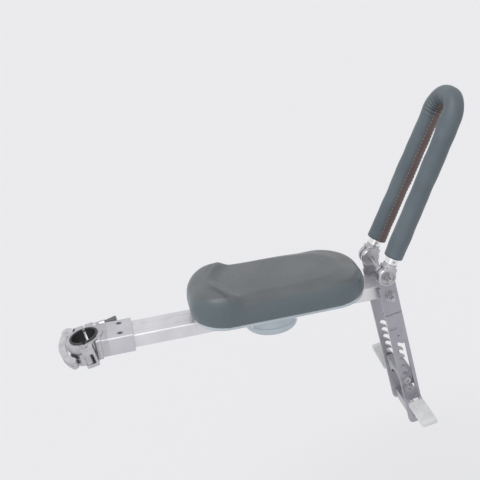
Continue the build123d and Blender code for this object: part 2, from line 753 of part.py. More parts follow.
# Shoe that the knob pulls up against the rail
with BuildPart() as clamp_shoe:
    with BuildSketch(rail_section.offset(stud_x - shoe_length / 2)):
        with Locations((0, shoe_top - shoe_thickness - rail_mid_z)):
            Rectangle(slider_outer, shoe_thickness + shoe_flange, align=(Align.CENTER, Align.MIN))
        with Locations((0, shoe_top - rail_mid_z)):
            Rectangle(rail_width + 2 * slide_fit, rail_height, align=(Align.CENTER, Align.MIN),
                      mode=Mode.SUBTRACT)
    extrude(amount=shoe_length)
    with Locations((stud_x, 0, shoe_top)):
        Hole(stud_diameter / 2 + fit)
finish(clamp_shoe, "clamp_shoe")

# Knob that locks the seat on the rail
with BuildPart() as seat_knob:
    with BuildSketch(Plane.XY.offset(knob_top)):
        with Locations((stud_x, 0)):
            Circle(knob_top_radius)
    with BuildSketch(Plane.XY.offset(knob_top - knob_height)):
        with Locations((stud_x, 0)):
            Circle(knob_bottom_radius)
    loft()
    fillet(seat_knob.faces().sort_by(Axis.Z)[0].edges(), radius=knob_edge_radius)
    fillet(seat_knob.faces().sort_by(Axis.Z)[-1].edges(), radius=knob_edge_radius / 2)
    with Locations((stud_x, 0, knob_top)):
        Hole(knob_insert_radius + fit, depth=knob_insert_height)
finish(seat_knob, "seat_knob")

# Threaded insert in the knob
with BuildPart() as knob_insert:
    with BuildSketch(Plane.XY.offset(knob_top)):
        with Locations((stud_x, 0)):
            Circle(knob_insert_radius)
            Circle(stud_diameter / 2 + fit, mode=Mode.SUBTRACT)
    extrude(amount=-knob_insert_height)
finish(knob_insert, "knob_insert")

# Side plates with their toothed slots
for plate_name, side in (("right_side_plate", 1), ("left_side_plate", -1)):
    with BuildPart() as side_plate:
        with BuildSketch(bracket_plane.offset(side * plate_inner)) as plate_outline:
            with Locations((0, pivot_rise)):
                Circle(plate_width / 2)
                Rectangle(plate_width, pivot_rise + plate_drop, align=(Align.CENTER, Align.MAX))
            with Locations((plate_width / 2, plate_shoulder_rise)):
                Rectangle(plate_width + plate_shoulder, plate_shoulder_rise + plate_drop,
                          align=(Align.MAX, Align.MAX))
            fillet(plate_outline.vertices().sort_by(Axis.X)[:2].sort_by(Axis.Y)[-1],
                   radius=plate_shoulder_corner)
            fillet(plate_outline.vertices().group_by(Axis.Y)[0], radius=plate_bottom_corner)
            with Locations((0, 0), (0, pivot_rise)):
                Circle(bolt_diameter / 2 + fit, mode=Mode.SUBTRACT)
            with Locations((0, -cross_bar_drop)):
                Circle(cross_screw_diameter / 2 + fit, mode=Mode.SUBTRACT)
            with Locations((-plate_eyelet_back, -plate_eyelet_drop)):
                Circle(plate_eyelet_radius, mode=Mode.SUBTRACT)
            with Locations((slot_forward, -slot_top)):
                with Locations((0, -tooth_count * tooth_pitch / 2)):
                    RectangleRounded(slot_width, tooth_count * tooth_pitch, slot_corner, mode=Mode.SUBTRACT)
            for notch in range(tooth_count):
                notch_drop = first_notch_drop + notch * tooth_pitch
                with Locations(Location((notch_end, -notch_drop, 0), (0, 0, -notch_slant))):
                    Circle(notch_width / 2, mode=Mode.SUBTRACT)
                    Rectangle((slot_forward - notch_end) / math.cos(math.radians(notch_slant)), notch_width,
                              align=(Align.MIN, Align.CENTER), mode=Mode.SUBTRACT)
        extrude(amount=side * plate_thickness)
        with BuildSketch(bracket_plane.offset(side * plate_outer)):
            with Locations((0, -plate_line_drop)):
                Rectangle(plate_width + 2 * plate_shoulder, plate_line_width)
            with Locations((-plate_oval_back, -plate_oval_drop)):
                SlotOverall(plate_oval_length, plate_oval_height)
        extrude(amount=-side * plate_line_depth, mode=Mode.SUBTRACT)
        with BuildSketch(bracket_plane.offset(side * plate_outer)):
            with Locations((plate_button_ahead, -plate_button_drop)):
                Circle(plate_button_radius)
        extrude(amount=side * plate_button_proud)
    finish(side_plate, plate_name)

# Bolt that joins the plates to the rail, with its nut and spacers
right_face = bracket_plane.offset(plate_outer)
left_face = bracket_plane.offset(-plate_outer)
through_length = 2 * plate_outer + nut_thickness + bolt_diameter / 4
rail_bolt = other_side(bolt_on(
    right_face,
    [(0, 0)],
    2 * plate_outer + nut_thickness + thread_proud,
    bolt_diameter,
    bolt_head_radius,
    bolt_head_height,
))
finish(rail_bolt, "rail_bolt")
rail_bolt_nut = nut_on(right_face, (0, 0), nut_thickness, nut_flange)
finish(rail_bolt_nut, "rail_bolt_nut")
with BuildPart() as rail_spacer:
    with BuildSketch(bracket_plane.offset(rail_width / 2 + slide_fit)):
        Circle(spacer_radius)
        Circle(bolt_diameter / 2 + fit, mode=Mode.SUBTRACT)
    extrude(amount=plate_inner - rail_width / 2 - slide_fit)
rail_spacers = both_sides(rail_spacer)
finish(rail_spacers, "rail_spacers")

# Axle that the handle's knuckles turn on
axle_seat = knuckle_outer - knuckle_recess + slide_fit
pivot_axle = other_side(bolt_on(
    bracket_plane.offset(axle_seat),
    [(0, pivot_rise)],
    2 * axle_seat + nut_thickness + thread_proud,
    bolt_diameter,
    bolt_head_radius,
    bolt_head_height,
))
finish(pivot_axle, "pivot_axle")
pivot_nut = nut_on(bracket_plane.offset(axle_seat), (0, pivot_rise), nut_thickness, nut_flange)
finish(pivot_nut, "pivot_nut")

# Saddle, bolted in the toothed slots, and its rubber pad
saddle_bolt_place = (notch_end, -saddle_bolt_drop)
with BuildPart() as saddle_block:
    with BuildSketch(bracket_section.offset(-saddle_depth / 2)) as saddle_outline:
        with Locations((0, saddle_rise - saddle_bolt_drop)):
            Rectangle(2 * (plate_inner - fit), saddle_rise + saddle_shoulder_drop,
                      align=(Align.CENTER, Align.MAX))
            Rectangle(saddle_cheek_width, saddle_rise + saddle_cheek_drop, align=(Align.CENTER, Align.MAX))
        fillet(saddle_outline.vertices().group_by(Axis.Y)[-1], radius=saddle_corner)
        with Locations((0, -saddle_bore_drop)):
            Circle(saddle_bore / 2 + saddle_pad_thickness, mode=Mode.SUBTRACT)
    extrude(amount=saddle_depth)
    with BuildSketch(bracket_plane):
        with Locations(saddle_bolt_place):
            Circle(bolt_diameter / 2 + fit)
    extrude(amount=plate_outer, both=True, mode=Mode.SUBTRACT)
finish(saddle_block, "saddle_block")
with BuildPart() as saddle_pad:
    with BuildSketch(bracket_section.offset(-saddle_depth / 2)):
        with Locations((0, -saddle_bore_drop)):
            Circle(saddle_bore / 2 + saddle_pad_thickness - fit)
            Circle(saddle_bore / 2, mode=Mode.SUBTRACT)
        with Locations((0, -saddle_bolt_drop - saddle_cheek_drop)):
            Rectangle(saddle_cheek_width, saddle_cheek_drop, align=(Align.CENTER, Align.MIN),
                      mode=Mode.INTERSECT)
    extrude(amount=saddle_depth)
finish(saddle_pad, "saddle_pad")
saddle_bolt = bolt_on(right_face, [saddle_bolt_place], through_length, bolt_diameter, bolt_head_radius,
                      foot_bolt_head_height)
finish(saddle_bolt, "saddle_bolt")
saddle_nut = nut_on(left_face, saddle_bolt_place, -nut_thickness)
finish(saddle_nut, "saddle_nut")

# Bar that ties the plates' lower ends together
with BuildPart() as lower_cross_bar:
    with BuildSketch(bracket_section.offset(-cross_bar_depth / 2)):
        with Locations((0, -cross_bar_drop)):
            Rectangle(2 * (plate_inner - fit), cross_bar_height)
    extrude(amount=cross_bar_depth)
    fillet(lower_cross_bar.edges().filter_by(Axis.Y), radius=rail_edge_radius)
    with BuildSketch(bracket_plane.offset(plate_inner)):
        with Locations((0, -cross_bar_drop)):
            Circle(cross_screw_diameter / 2 + fit)
    extrude(amount=-cross_screw_bite, mode=Mode.SUBTRACT)
    with BuildSketch(bracket_plane.offset(-plate_inner)):
        with Locations((0, -cross_bar_drop)):
            Circle(cross_screw_diameter / 2 + fit)
    extrude(amount=cross_screw_bite, mode=Mode.SUBTRACT)
finish(lower_cross_bar, "lower_cross_bar")
cross_bar_screws = both_sides(bolt_on(
    right_face,
    [(0, -cross_bar_drop)],
    plate_thickness + cross_screw_bite,
    cross_screw_diameter,
    cross_screw_head_radius,
    cross_screw_head_height,
))
finish(cross_bar_screws, "cross_bar_screws")

# Footrests, their hinge brackets, pins, bolts and nuts
foot_bolt_place = (notch_end, -foot_bolt_drop)
hinge_gap = foot_barrel_radius + 2 * running_gap
for side_name, side, inward, outward, tilt in (
    ("right", 1, Align.MIN, Align.MAX, 0.0),
    ("left", -1, Align.MAX, Align.MIN, left_foot_tilt),
):
    hinge_place = (-side * (plate_outer + foot_hinge_out), -foot_hinge_drop)
    hinge_plane = Plane(
        origin=bracket_section.from_local_coords((*hinge_place, 0)),
        x_dir=tilted(bracket_lean),
        z_dir=tilted(bracket_lean + 90),
    )
    with BuildPart() as foot_bracket:
        with BuildSketch(bracket_plane.offset(side * plate_outer)):
            with Locations(foot_bolt_place):
                Circle(foot_tongue_radius)
            with Locations((0, -foot_hinge_drop)):
                Rectangle(foot_bracket_width, 2 * foot_barrel_radius)
            make_hull()
            with Locations(foot_bolt_place):
                Circle(bolt_diameter / 2 + fit, mode=Mode.SUBTRACT)
        extrude(amount=side * foot_bracket_thickness)
        with BuildSketch(bracket_section.offset(-foot_bracket_width / 2)):
            with Locations(hinge_place):
                Circle(foot_barrel_radius)
                Rectangle(foot_hinge_out, 2 * foot_barrel_radius, align=(inward, Align.CENTER))
                Circle(foot_pin_diameter / 2 + fit, mode=Mode.SUBTRACT)
        extrude(amount=foot_bracket_width)
        with BuildSketch(bracket_section.offset(-foot_barrel_length / 2 - running_gap)):
            with Locations(hinge_place):
                Circle(hinge_gap)
                Rectangle(foot_hinge_out, 2 * hinge_gap, align=(outward, Align.CENTER))
        extrude(amount=foot_barrel_length + 2 * running_gap, mode=Mode.SUBTRACT)
    finish(foot_bracket, f"{side_name}_foot_bracket")

    with BuildPart() as footrest:
        with BuildSketch(bracket_section.offset(-foot_barrel_length / 2)):
            with Locations(hinge_place):
                Circle(foot_barrel_radius)
                Rectangle(hinge_gap + foot_corner, foot_thickness, align=(outward, Align.CENTER))
                Circle(foot_pin_diameter / 2 + fit, mode=Mode.SUBTRACT)
        extrude(amount=foot_barrel_length)
        with BuildSketch(hinge_plane):
            with Locations((-foot_setback, -side * (foot_length + hinge_gap) / 2)):
                RectangleRounded(foot_width, foot_length - hinge_gap, foot_corner)
        extrude(amount=foot_thickness / 2, both=True)
        with BuildSketch(hinge_plane.offset(foot_thickness / 2)):
            with Locations((-foot_setback, -side * (foot_length + hinge_gap) / 2)):
                with GridLocations(0, foot_ridge_pitch, 1, foot_ridge_count):
                    Rectangle(foot_width - foot_corner, foot_ridge_width)
        extrude(amount=foot_ridge_height)
    with BuildPart() as folded_footrest:
        add(footrest.part.rotate(Axis(hinge_plane.origin, hinge_plane.x_dir), -side * tilt))
    finish(folded_footrest, f"{side_name}_footrest")

with BuildPart() as foot_hinge_pin:
    with BuildSketch(bracket_section.offset(-foot_bracket_width / 2)):
        with Locations((-plate_outer - foot_hinge_out, -foot_hinge_drop)):
            Circle(foot_pin_diameter / 2)
    extrude(amount=foot_bracket_width)
foot_hinge_pins = both_sides(foot_hinge_pin)
finish(foot_hinge_pins, "foot_hinge_pins")
foot_bolts = both_sides(bolt_on(
    bracket_plane.offset(plate_outer + foot_bracket_thickness),
    [foot_bolt_place],
    foot_bracket_thickness + plate_thickness + nut_thickness,
    bolt_diameter,
    bolt_head_radius,
    foot_bolt_head_height,
))
finish(foot_bolts, "foot_bolts")
foot_nuts = both_sides(nut_on(bracket_plane.offset(plate_inner), foot_bolt_place, -nut_thickness))
finish(foot_nuts, "foot_nuts")

# Handle: a bent tube in a padded sleeve
leg_foot = (plate_spacing / 2, tube_foot + running_gap)
leg_slope = (plate_spacing - handle_top_spacing) / 2 / (handle_reach - tube_foot)
leg_corner = (handle_top_spacing / 2, handle_reach)
grip_foot = (plate_spacing / 2 - leg_slope * (grip_start - tube_foot), grip_start)


def handle_loop(foot, outer_radius, inner_radius):
    """Tube along the handle's loop, from one leg's foot round to the other."""
    with BuildPart() as loop:
        with BuildLine(handle_plane) as path:
            FilletPolyline(
                foot,
                leg_corner,
                (-leg_corner[0], leg_corner[1]),
                (-foot[0], foot[1]),
                radius=handle_bend,
            )
        with BuildSketch(Plane(origin=path.wires()[0] @ 0, z_dir=path.wires()[0] % 0)):
            Circle(outer_radius)
            Circle(inner_radius, mode=Mode.SUBTRACT)
        sweep()
    return loop


def leg_plane(side, distance):
    """Plane across a leg of the handle, at a distance from its foot."""
    leg = (handle_plane.y_dir + handle_plane.x_dir * side * leg_slope).normalized()
    foot = handle_plane.from_local_coords((-side * plate_spacing / 2, tube_foot, 0))
    return Plane(origin=foot + leg * distance, x_dir=tilted(-handle_lean), z_dir=leg)


def pin_plane(side):
    """Plane across the rivet of a leg, which runs from side to side."""
    across = leg_plane(side, knuckle_pin_rise)
    return Plane(origin=across.origin, x_dir=across.x_dir, z_dir=across.y_dir)


tube_radius = handle_tube_diameter / 2
tube_bore = tube_radius - handle_tube_wall
with BuildPart() as handle_tube:
    add(handle_loop(leg_foot, tube_radius, tube_bore).part)
    for side in (1, -1):
        with BuildSketch(pin_plane(side)):
            Circle(knuckle_pin_diameter / 2 + fit)
        extrude(amount=handle_tube_diameter, both=True, mode=Mode.SUBTRACT)
finish(handle_tube, "handle_tube")
handle_sleeve = handle_loop(grip_foot, grip_diameter / 2, tube_radius + fit)
finish(handle_sleeve, "handle_sleeve")

# Knuckles that fork over the plates' upper ends
for side_name, side in (("right", 1), ("left", -1)):
    with BuildPart() as knuckle:
        with BuildSketch(knuckle_plane.offset(side * knuckle_inner)):
            Circle(knuckle_radius)
            Rectangle(knuckle_width, knuckle_shoulder, align=(Align.CENTER, Align.MIN))
        extrude(amount=side * knuckle_width)
        fillet(knuckle.faces().filter_by(Axis.Y).edges(), radius=knuckle_edge)
        with BuildSketch(leg_plane(side, -knuckle_collar - knuckle_edge)):
            Circle(tube_radius + handle_tube_wall / 2)
        extrude(amount=knuckle_collar + knuckle_edge)
        with BuildSketch(leg_plane(side, 0)):
            Circle(tube_bore - fit)
        extrude(amount=knuckle_plug)
        with BuildSketch(knuckle_plane.offset(side * (plate_inner - running_gap))):
            with Locations((0, plate_width / 2 + running_gap)):
                Rectangle(4 * knuckle_radius, 4 * knuckle_radius, align=(Align.CENTER, Align.MAX))
        extrude(amount=side * (plate_thickness + 2 * running_gap), mode=Mode.SUBTRACT)
        with BuildSketch(knuckle_plane):
            Circle(bolt_diameter / 2 + fit)
        extrude(amount=side * 2 * knuckle_outer, mode=Mode.SUBTRACT)
        with BuildSketch(knuckle_plane.offset(side * knuckle_outer)):
            Circle(knuckle_recess_radius)
        extrude(amount=-side * knuckle_recess, mode=Mode.SUBTRACT)
        with BuildSketch(pin_plane(side)):
            Circle(knuckle_pin_diameter / 2 + fit)
        extrude(amount=handle_tube_diameter, both=True, mode=Mode.SUBTRACT)
    finish(knuckle, f"{side_name}_knuckle")

# Rivets that hold the tube on the knuckles
with BuildPart() as knuckle_pin:
    with BuildSketch(pin_plane(1)):
        Circle(knuckle_pin_diameter / 2)
    extrude(amount=tube_radius + handle_tube_wall / 3, both=True)
knuckle_pins = both_sides(knuckle_pin)
finish(knuckle_pins, "knuckle_pins")
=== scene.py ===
"""Looks of a small child seat: metal clamp, rail and slotted bracket, a padded seat, and a loop
handle in a stitched padded sleeve. Metres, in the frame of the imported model: +X forward along the
rail, +Y to the child's left, +Z up.
"""
import json
import math

import bpy
import numpy as np
from mathutils import Matrix, Vector


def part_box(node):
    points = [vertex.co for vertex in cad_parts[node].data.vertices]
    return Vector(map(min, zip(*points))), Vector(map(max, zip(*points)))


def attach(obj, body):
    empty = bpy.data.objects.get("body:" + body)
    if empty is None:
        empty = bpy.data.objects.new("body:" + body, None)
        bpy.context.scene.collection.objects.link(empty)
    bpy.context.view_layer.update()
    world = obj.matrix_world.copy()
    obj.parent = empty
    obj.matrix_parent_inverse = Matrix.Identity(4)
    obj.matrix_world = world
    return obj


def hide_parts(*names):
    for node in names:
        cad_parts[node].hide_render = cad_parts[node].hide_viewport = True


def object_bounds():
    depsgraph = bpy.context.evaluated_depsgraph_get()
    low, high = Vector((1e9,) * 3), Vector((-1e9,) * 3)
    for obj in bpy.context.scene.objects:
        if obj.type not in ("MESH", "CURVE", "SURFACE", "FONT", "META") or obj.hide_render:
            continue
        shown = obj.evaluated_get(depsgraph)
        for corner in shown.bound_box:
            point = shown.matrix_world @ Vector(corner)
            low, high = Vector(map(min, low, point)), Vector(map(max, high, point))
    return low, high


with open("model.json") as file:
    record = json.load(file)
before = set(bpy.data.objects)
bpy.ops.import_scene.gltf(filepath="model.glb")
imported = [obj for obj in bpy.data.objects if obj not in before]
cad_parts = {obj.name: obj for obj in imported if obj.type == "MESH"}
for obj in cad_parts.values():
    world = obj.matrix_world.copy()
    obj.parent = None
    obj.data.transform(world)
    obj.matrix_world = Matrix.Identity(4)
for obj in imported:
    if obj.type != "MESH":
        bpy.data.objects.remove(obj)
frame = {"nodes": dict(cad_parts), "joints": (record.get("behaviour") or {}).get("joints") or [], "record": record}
cad_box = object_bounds()
nodes = frame["nodes"]
joints = {joint["name"]: joint for joint in frame["joints"]}

# Camera, fitted to the photograph
IMAGE_PIXELS = 480
FOCAL_PIXELS = 849.84
SENSOR = 36.0
CAMERA_PLACE = (0.0737, -0.9515, 0.5323)
CAMERA_AZIMUTH = -8.08
CAMERA_ELEVATION = 24.01
CAMERA_ROLL = -7.24

# Stage
PALE_GREY = (0.868, 0.868, 0.884)
FLOOR_DROP = 0.40
FLOOR_HALF = 14.0
FLOOR_ROUGHNESS = 0.9
FLOOR_SPECULAR = 0.1
WORLD_FILL = 0.60  # share of the world's light that reaches matt surfaces
WORLD_SEEN = 0.965  # share that the camera and mirrors see, so that it meets the floor unseen
LAMPS = (  # name, direction it shines from, strength, width in degrees
    ("key", (-0.48, -0.24, 1.0), 1.42, 48.0),
    ("fill", (-0.45, -0.85, 0.35), 0.30, 60.0),
)

# Cushion, set a little inside its solid so that it can swell
SEAT_CORNER = 0.048
SEAT_SWELL = 0.001
SEAT_TOP_ROUND = 0.011
SEAT_BOTTOM_ROUND = 0.004
SEAT_FRONT_FALL = 0.0055
SEAT_CROWN = 0.0008
SEAT_BULGE = 0.0010
SEAT_LIP = 0.0040  # the cover's lower edge reaches this far over the base
SEAT_LIP_INSET = (0.0020, 0.0045)
SEAT_LIP_HEIGHT = 0.014
SEAT_LAP_DROP = 0.011  # from the top of the solid's hump to the lap
HUMP_RISE = 0.0074
HUMP_FOOT = 0.0475  # hump's front edge in the middle, from the cushion's rear end
HUMP_SPREAD = 0.53  # how far that edge runs forward for each metre to a side
HUMP_TURN = 0.012  # how round it is in the middle
HUMP_SLOPE = 0.0215
HUMP_STEEP = 1.5  # above 1, the slope is steeper near its top
HUMP_BACK_FALL = 0.0075
HUMP_BACK_RUN = 0.034
# Painted shade: a dark line along the crease, by this value on the mesh; the crease's depth and place follow
CREASE_SHADE = "crease"
CREASE_DEPTH = 0.0004
CREASE_BACK = 0.0247  # behind the hump's foot
CREASE_FROM = (0.012, 0.028)  # from the middle, where the crease fades in
CREASE_WIDTH = 0.0026
CREASE_EDGE = (0.001, 0.009)  # from the plan's edge, where it fades out
SEAT_VOXEL = 0.0026
SETTLE_INSET = 0.020  # from the plan's edge, where the top is all on its formula
SWELL_FRAMES = 20
SWELL_PRESSURE = 4.0
SEAT_SWELL_CAP = 0.003
TINY = 1e-9  # stands in for no movement at all, so that nothing is divided by zero
SWELL_EVENING = 40  # times each point's movement is averaged with its neighbours'
SEAT_COLUMNS = 220
SEAT_ROUND_ROWS = 9
SEAT_SIDE_ROWS = 9
SEAT_FLAT_ROWS = 20
HELD_HEIGHT = SEAT_BOTTOM_ROUND / 4  # below this the cover is held while it swells
# Painted shade: the cushion's sides get a darker, bluer tint, by this value on the mesh
FLANK_SHADE = "flank_shade"
FLANK_INSET = (0.0008, 0.0065)  # from the plan's edge, where the sides' painted shade fades into the top's tone

# Handle
HANDLE_LEAN = 26.4
HANDLE_REACH = 0.2324
HANDLE_FOOT = 0.017
LEG_SPACING_LOW = 0.063
LEG_SPACING_HIGH = 0.0544
HANDLE_BEND = 0.025
SLEEVE_RADIUS = 0.0121
SLEEVE_BORE = 0.00812
SLEEVE_START = 0.025
STRIP_TURN = 27.0  # degrees from the loop's inner side towards its front
STRIP_HALF_ANGLE = 37.0
STRIP_PROUD = 0.0004
STRIP_END = 0.0006  # from the sleeve's end to the strip's
STRIP_FLATNESS = 0.6  # below 1, the strip's outline is squarer across
STRIP_ARCH = 0.5  # below 1, its edges are blunter
STITCH_PITCH = 0.0046
STITCH_LENGTH = 0.0030
STITCH_RADIUS = 0.00045
STITCH_INSET = 4.0  # degrees inside the strip's edge
STITCH_SINK = 1.2  # how many radii a stitch's ends go into the leather
STITCH_ROWS = 6
STITCH_COLUMNS = 6
PADDING_WAVES = (  # height, and phase for each metre along, each radian round and at the start
    (0.00022, 61.0, 0.0, 1.3),
    (0.00016, 127.0, 2.0, 0.0),
    (0.00012, 233.0, -1.0, 0.7),
)
# Painted shade: the folds are painted darker, by this value on the mesh; their depth and shape follow
FOLD_SHADE = "fold"
FOLD_DEPTH = 0.0018
FOLD_WAVE = 1050.0
FOLD_SWAY = 0.9  # how far the folds wander, as a phase
FOLD_SWAY_WAVES = (2.0, 40.0)  # phase of that for each radian round and each metre along
FOLD_FADE = 0.012  # length past the bend over which they die out
FOLD_TOP_HALF = 0.004  # they are flatter this near to the loop's top
FOLD_TOP_SHARE = 0.25
FOLD_WRAP = 0.3  # above 0, they reach past the sleeve's sides
FOLD_GATHER = 1.3  # above 1, they are deeper towards the inner side
BUNCH = 0.0030  # how far the sleeve bulges beside its bends
BUNCH_TURN = -35.0  # degrees, where round the sleeve it bulges most
BUNCH_RUN = 0.018
BUNCH_POWER = 4  # the higher, the narrower round the sleeve
HEM_REACH = 0.0012
SLEEVE_ROWS = 420
SLEEVE_COLUMNS = 60
HEM_ROWS = 9
BORE_SKIP = 4  # rows of the outer face for each row of the bore
STRIP_COLUMNS = 24
LOOP_STEPS = 4000

# Finishes: noise in patches to a metre, and how much of it shows
EDGE_SAMPLES = 4
CLOUD_SPAN = (0.3, 0.7)  # noise values between which one tone goes over into the other
DRAWN_CLOUD = 38.0
DRAWN_CLOUD_SPAN = (0.3, 0.75)
DRAWN_DULL = 0.9
DRAWN_ROUGHNESS = (0.14, 0.06)  # of the lines and of the clouds
DRAWN_BUMP = (0.10, 0.0002)  # strength and depth, here and below
CAST_SKIN = 900.0
CAST_CLOUD = 90.0
CAST_DULL = 0.84
CAST_ROUGHNESS = (0.12, 0.1)  # of the skin and of the clouds
CAST_HEIGHT = (0.6, 0.4)
CAST_BUMP = (0.18, 0.0003)
MOULD_CLOUD = 45.0
MOULD_DEEP = 0.9
MOULD_ROUGHNESS = 0.12
MOULD_BUMP = (0.12, 0.0002)
HIDE_SPECULAR = 0.45
HIDE_WANDER = 260.0
HIDE_PORES = 2600.0
HIDE_CLOUD = 24.0
HIDE_PEBBLE_SMOOTHNESS = 0.5
HIDE_CREASES = (0.25, 0.75)  # distances in a cell between which a pebble falls into its crease
HIDE_CREASE_SHARE = 0.16
HIDE_CREASE_DEEP = 0.6
HIDE_ROUGHNESS = (0.10, 0.10)  # of the creases and of the wander
HIDE_ROUGHNESS_MEAN = 0.08  # about what these two add
HIDE_HEIGHT = (0.8, 0.2)  # of the creases and of the pores
HIDE_BUMP = (0.22, 0.00025)


# Shader maths
class Link:
    """An output socket. Arithmetic on it adds Math nodes to its tree."""

    def __init__(self, tree, socket):
        self.tree = tree
        self.socket = socket

    def math(self, operation, *others):
        """A Math node of this value and the others."""
        node = self.tree.nodes.new("ShaderNodeMath")
        node.operation = operation
        for value, slot in zip((self, *others), node.inputs):
            join(self.tree, value, slot)
        return Link(self.tree, node.outputs[0])

    def __add__(self, other):
        return self.math("ADD", other)

    def __mul__(self, other):
        return self.math("MULTIPLY", other)

    def __sub__(self, other):
        return self.math("SUBTRACT", other)

    def __rsub__(self, other):
        return (self * -1.0) + other

    __radd__ = __add__
    __rmul__ = __mul__


def join(tree, value, slot):
    """Link a value to a slot, or set the slot to it where it is a plain number or colour."""
    if isinstance(value, Link):
        tree.links.new(value.socket, slot)
    elif slot.type == "RGBA" and len(value) == 3:
        slot.default_value = (*value, 1.0)
    else:
        slot.default_value = value


class Finish:
    """A material with one Principled shader, whose sockets take plain values or links."""

    def __init__(self, name, **constants):
        self.material = bpy.data.materials.new(name)
        self.material.use_nodes = True
        self.tree = self.material.node_tree
        self.shader = self.tree.nodes["Principled BSDF"]
        self.set(**constants)

    def set(self, **sockets):
        """Set or link the shader's sockets, named with underscores for spaces."""
        for name, value in sockets.items():
            join(self.tree, value, self.shader.inputs[name.replace("_", " ")])
        return self

    def add(self, kind, settings=None, out=0, **sockets):
        """A node of a kind, with its settings first, then its sockets; returns one output."""
        node = self.tree.nodes.new("ShaderNode" + kind)
        for name, value in (settings or {}).items():
            setattr(node, name, value)
        for name, value in sockets.items():
            join(self.tree, value, node.inputs[name.replace("_", " ")])
        return Link(self.tree, node.outputs[out])

    def place(self, scale=(1.0, 1.0, 1.0)):
        """Object coordinates, scaled."""
        coordinates = self.add("TexCoord", out="Object")
        return self.add("Mapping", Vector=coordinates, Scale=scale)

    def noise(self, scale, detail, vector=None):
        """Noise from 0 to 1, with its grain at about one part in scale of a metre."""
        where = self.place() if vector is None else vector
        return self.add("TexNoise", Vector=where, Scale=scale, Detail=detail)

    def ramp(self, value, low, high):
        """A value that goes smoothly from 0 at low to 1 at high."""
        return self.add(
            "MapRange",
            {"interpolation_type": "SMOOTHSTEP"},
            Value=value,
            From_Min=low,
            From_Max=high,
        )

    def mix(self, factor, first, second):
        """The first colour where the factor is 0, and the second where it is 1."""
        node = self.tree.nodes.new("ShaderNodeMix")
        node.data_type = "RGBA"
        colours = [slot for slot in node.inputs if slot.type == "RGBA"]
        join(self.tree, factor, node.inputs["Factor"])
        join(self.tree, first, colours[0])
        join(self.tree, second, colours[1])
        return Link(self.tree, next(slot for slot in node.outputs if slot.type == "RGBA"))

    def bump(self, height, strength, distance, **normal):
        """A normal that a height field stands out from."""
        return self.add("Bump", Height=height, Strength=strength, Distance=distance, **normal)

    def rounded(self, radius):
        """Normals that round the edges off."""
        return self.add("Bevel", {"samples": EDGE_SAMPLES}, Radius=radius)


# Finishes. A roughness is given as about its mean, so what the noises add on average is taken off
def deeper(colour, share):
    """A colour of which only a share is left."""
    return tuple(share * channel for channel in colour)


def brushed_metal(name, colour, roughness, lines, edge, metallic=1.0):
    """Metal with fine drawn lines: noise that is stretched along them varies shine and height."""
    finish = Finish(name, Metallic=metallic)
    drawn = finish.noise(1.0, detail=4.0, vector=finish.place(lines))
    cloud = finish.noise(DRAWN_CLOUD, detail=2.0)
    shade = finish.ramp(cloud, *DRAWN_CLOUD_SPAN)
    by_lines, by_cloud = DRAWN_ROUGHNESS
    return finish.set(
        Base_Color=finish.mix(shade, deeper(colour, DRAWN_DULL), colour),
        Roughness=drawn * by_lines + cloud * by_cloud + (roughness - (by_lines + by_cloud) / 2),
        Normal=finish.bump(drawn, *DRAWN_BUMP, Normal=finish.rounded(edge)),
    ).material


def cast_metal(name, colour, roughness, edge):
    """Cast and tumbled metal: a soft skin of two grain sizes."""
    finish = Finish(name, Metallic=1.0)
    skin = finish.noise(CAST_SKIN, detail=3.0)
    cloud = finish.noise(CAST_CLOUD, detail=3.0)
    shade = finish.ramp(cloud, *CLOUD_SPAN)
    by_skin, by_cloud = CAST_ROUGHNESS
    high_skin, high_cloud = CAST_HEIGHT
    height = skin * high_skin + cloud * high_cloud
    return finish.set(
        Base_Color=finish.mix(shade, deeper(colour, CAST_DULL), colour),
        Roughness=skin * by_skin + cloud * by_cloud + (roughness - (by_skin + by_cloud) / 2),
        Normal=finish.bump(height, *CAST_BUMP, Normal=finish.rounded(edge)),
    ).material


def moulded_plastic(name, colour, roughness, edge, grain=2200.0):
    """Moulded plastic with a fine even texture and slight clouds of colour."""
    finish = Finish(name)
    texture = finish.noise(grain, detail=2.0)
    cloud = finish.noise(MOULD_CLOUD, detail=2.0)
    shade = finish.ramp(cloud, *CLOUD_SPAN)
    return finish.set(
        Base_Color=finish.mix(shade, deeper(colour, MOULD_DEEP), colour),
        Roughness=texture * MOULD_ROUGHNESS + (roughness - MOULD_ROUGHNESS / 2),
        Normal=finish.bump(texture, *MOULD_BUMP, Normal=finish.rounded(edge)),
    ).material


def hide(name, colour, shadow, pebble, roughness, *marks):
    """Soft artificial leather: pebbles from cells, with fine pores, and clouds of colour. Each mark
    is a value of the mesh and a colour of painted shade that the leather takes where that value is 1.
    """
    finish = Finish(name, Specular_IOR_Level=HIDE_SPECULAR)
    wander = finish.noise(HIDE_WANDER, detail=2.0)
    cells = finish.add(
        "TexVoronoi",
        {"feature": "SMOOTH_F1"},
        Scale=pebble,
        Smoothness=HIDE_PEBBLE_SMOOTHNESS,
        Vector=finish.place(),
    )
    pores = finish.noise(HIDE_PORES, detail=2.0)
    cloud = finish.noise(HIDE_CLOUD, detail=3.0)
    creases = finish.ramp(cells, *HIDE_CREASES)
    tone = finish.mix(finish.ramp(cloud, *CLOUD_SPAN), shadow, colour)
    for marked, shade_colour in marks:
        share = finish.add("Attribute", {"attribute_name": marked}, out="Fac")
        # each mark mixes in its colour of painted shade
        tone = finish.mix(share, tone, shade_colour)
    crease_tone = deeper(shadow, HIDE_CREASE_DEEP)
    by_creases, by_wander = HIDE_ROUGHNESS
    high_creases, high_pores = HIDE_HEIGHT
    offset = roughness - HIDE_ROUGHNESS_MEAN
    return finish.set(
        Base_Color=finish.mix(creases * HIDE_CREASE_SHARE, tone, crease_tone),
        Roughness=creases * by_creases + wander * by_wander + offset,
        Normal=finish.bump(1.0 - creases * high_creases + pores * high_pores, *HIDE_BUMP),
    ).material


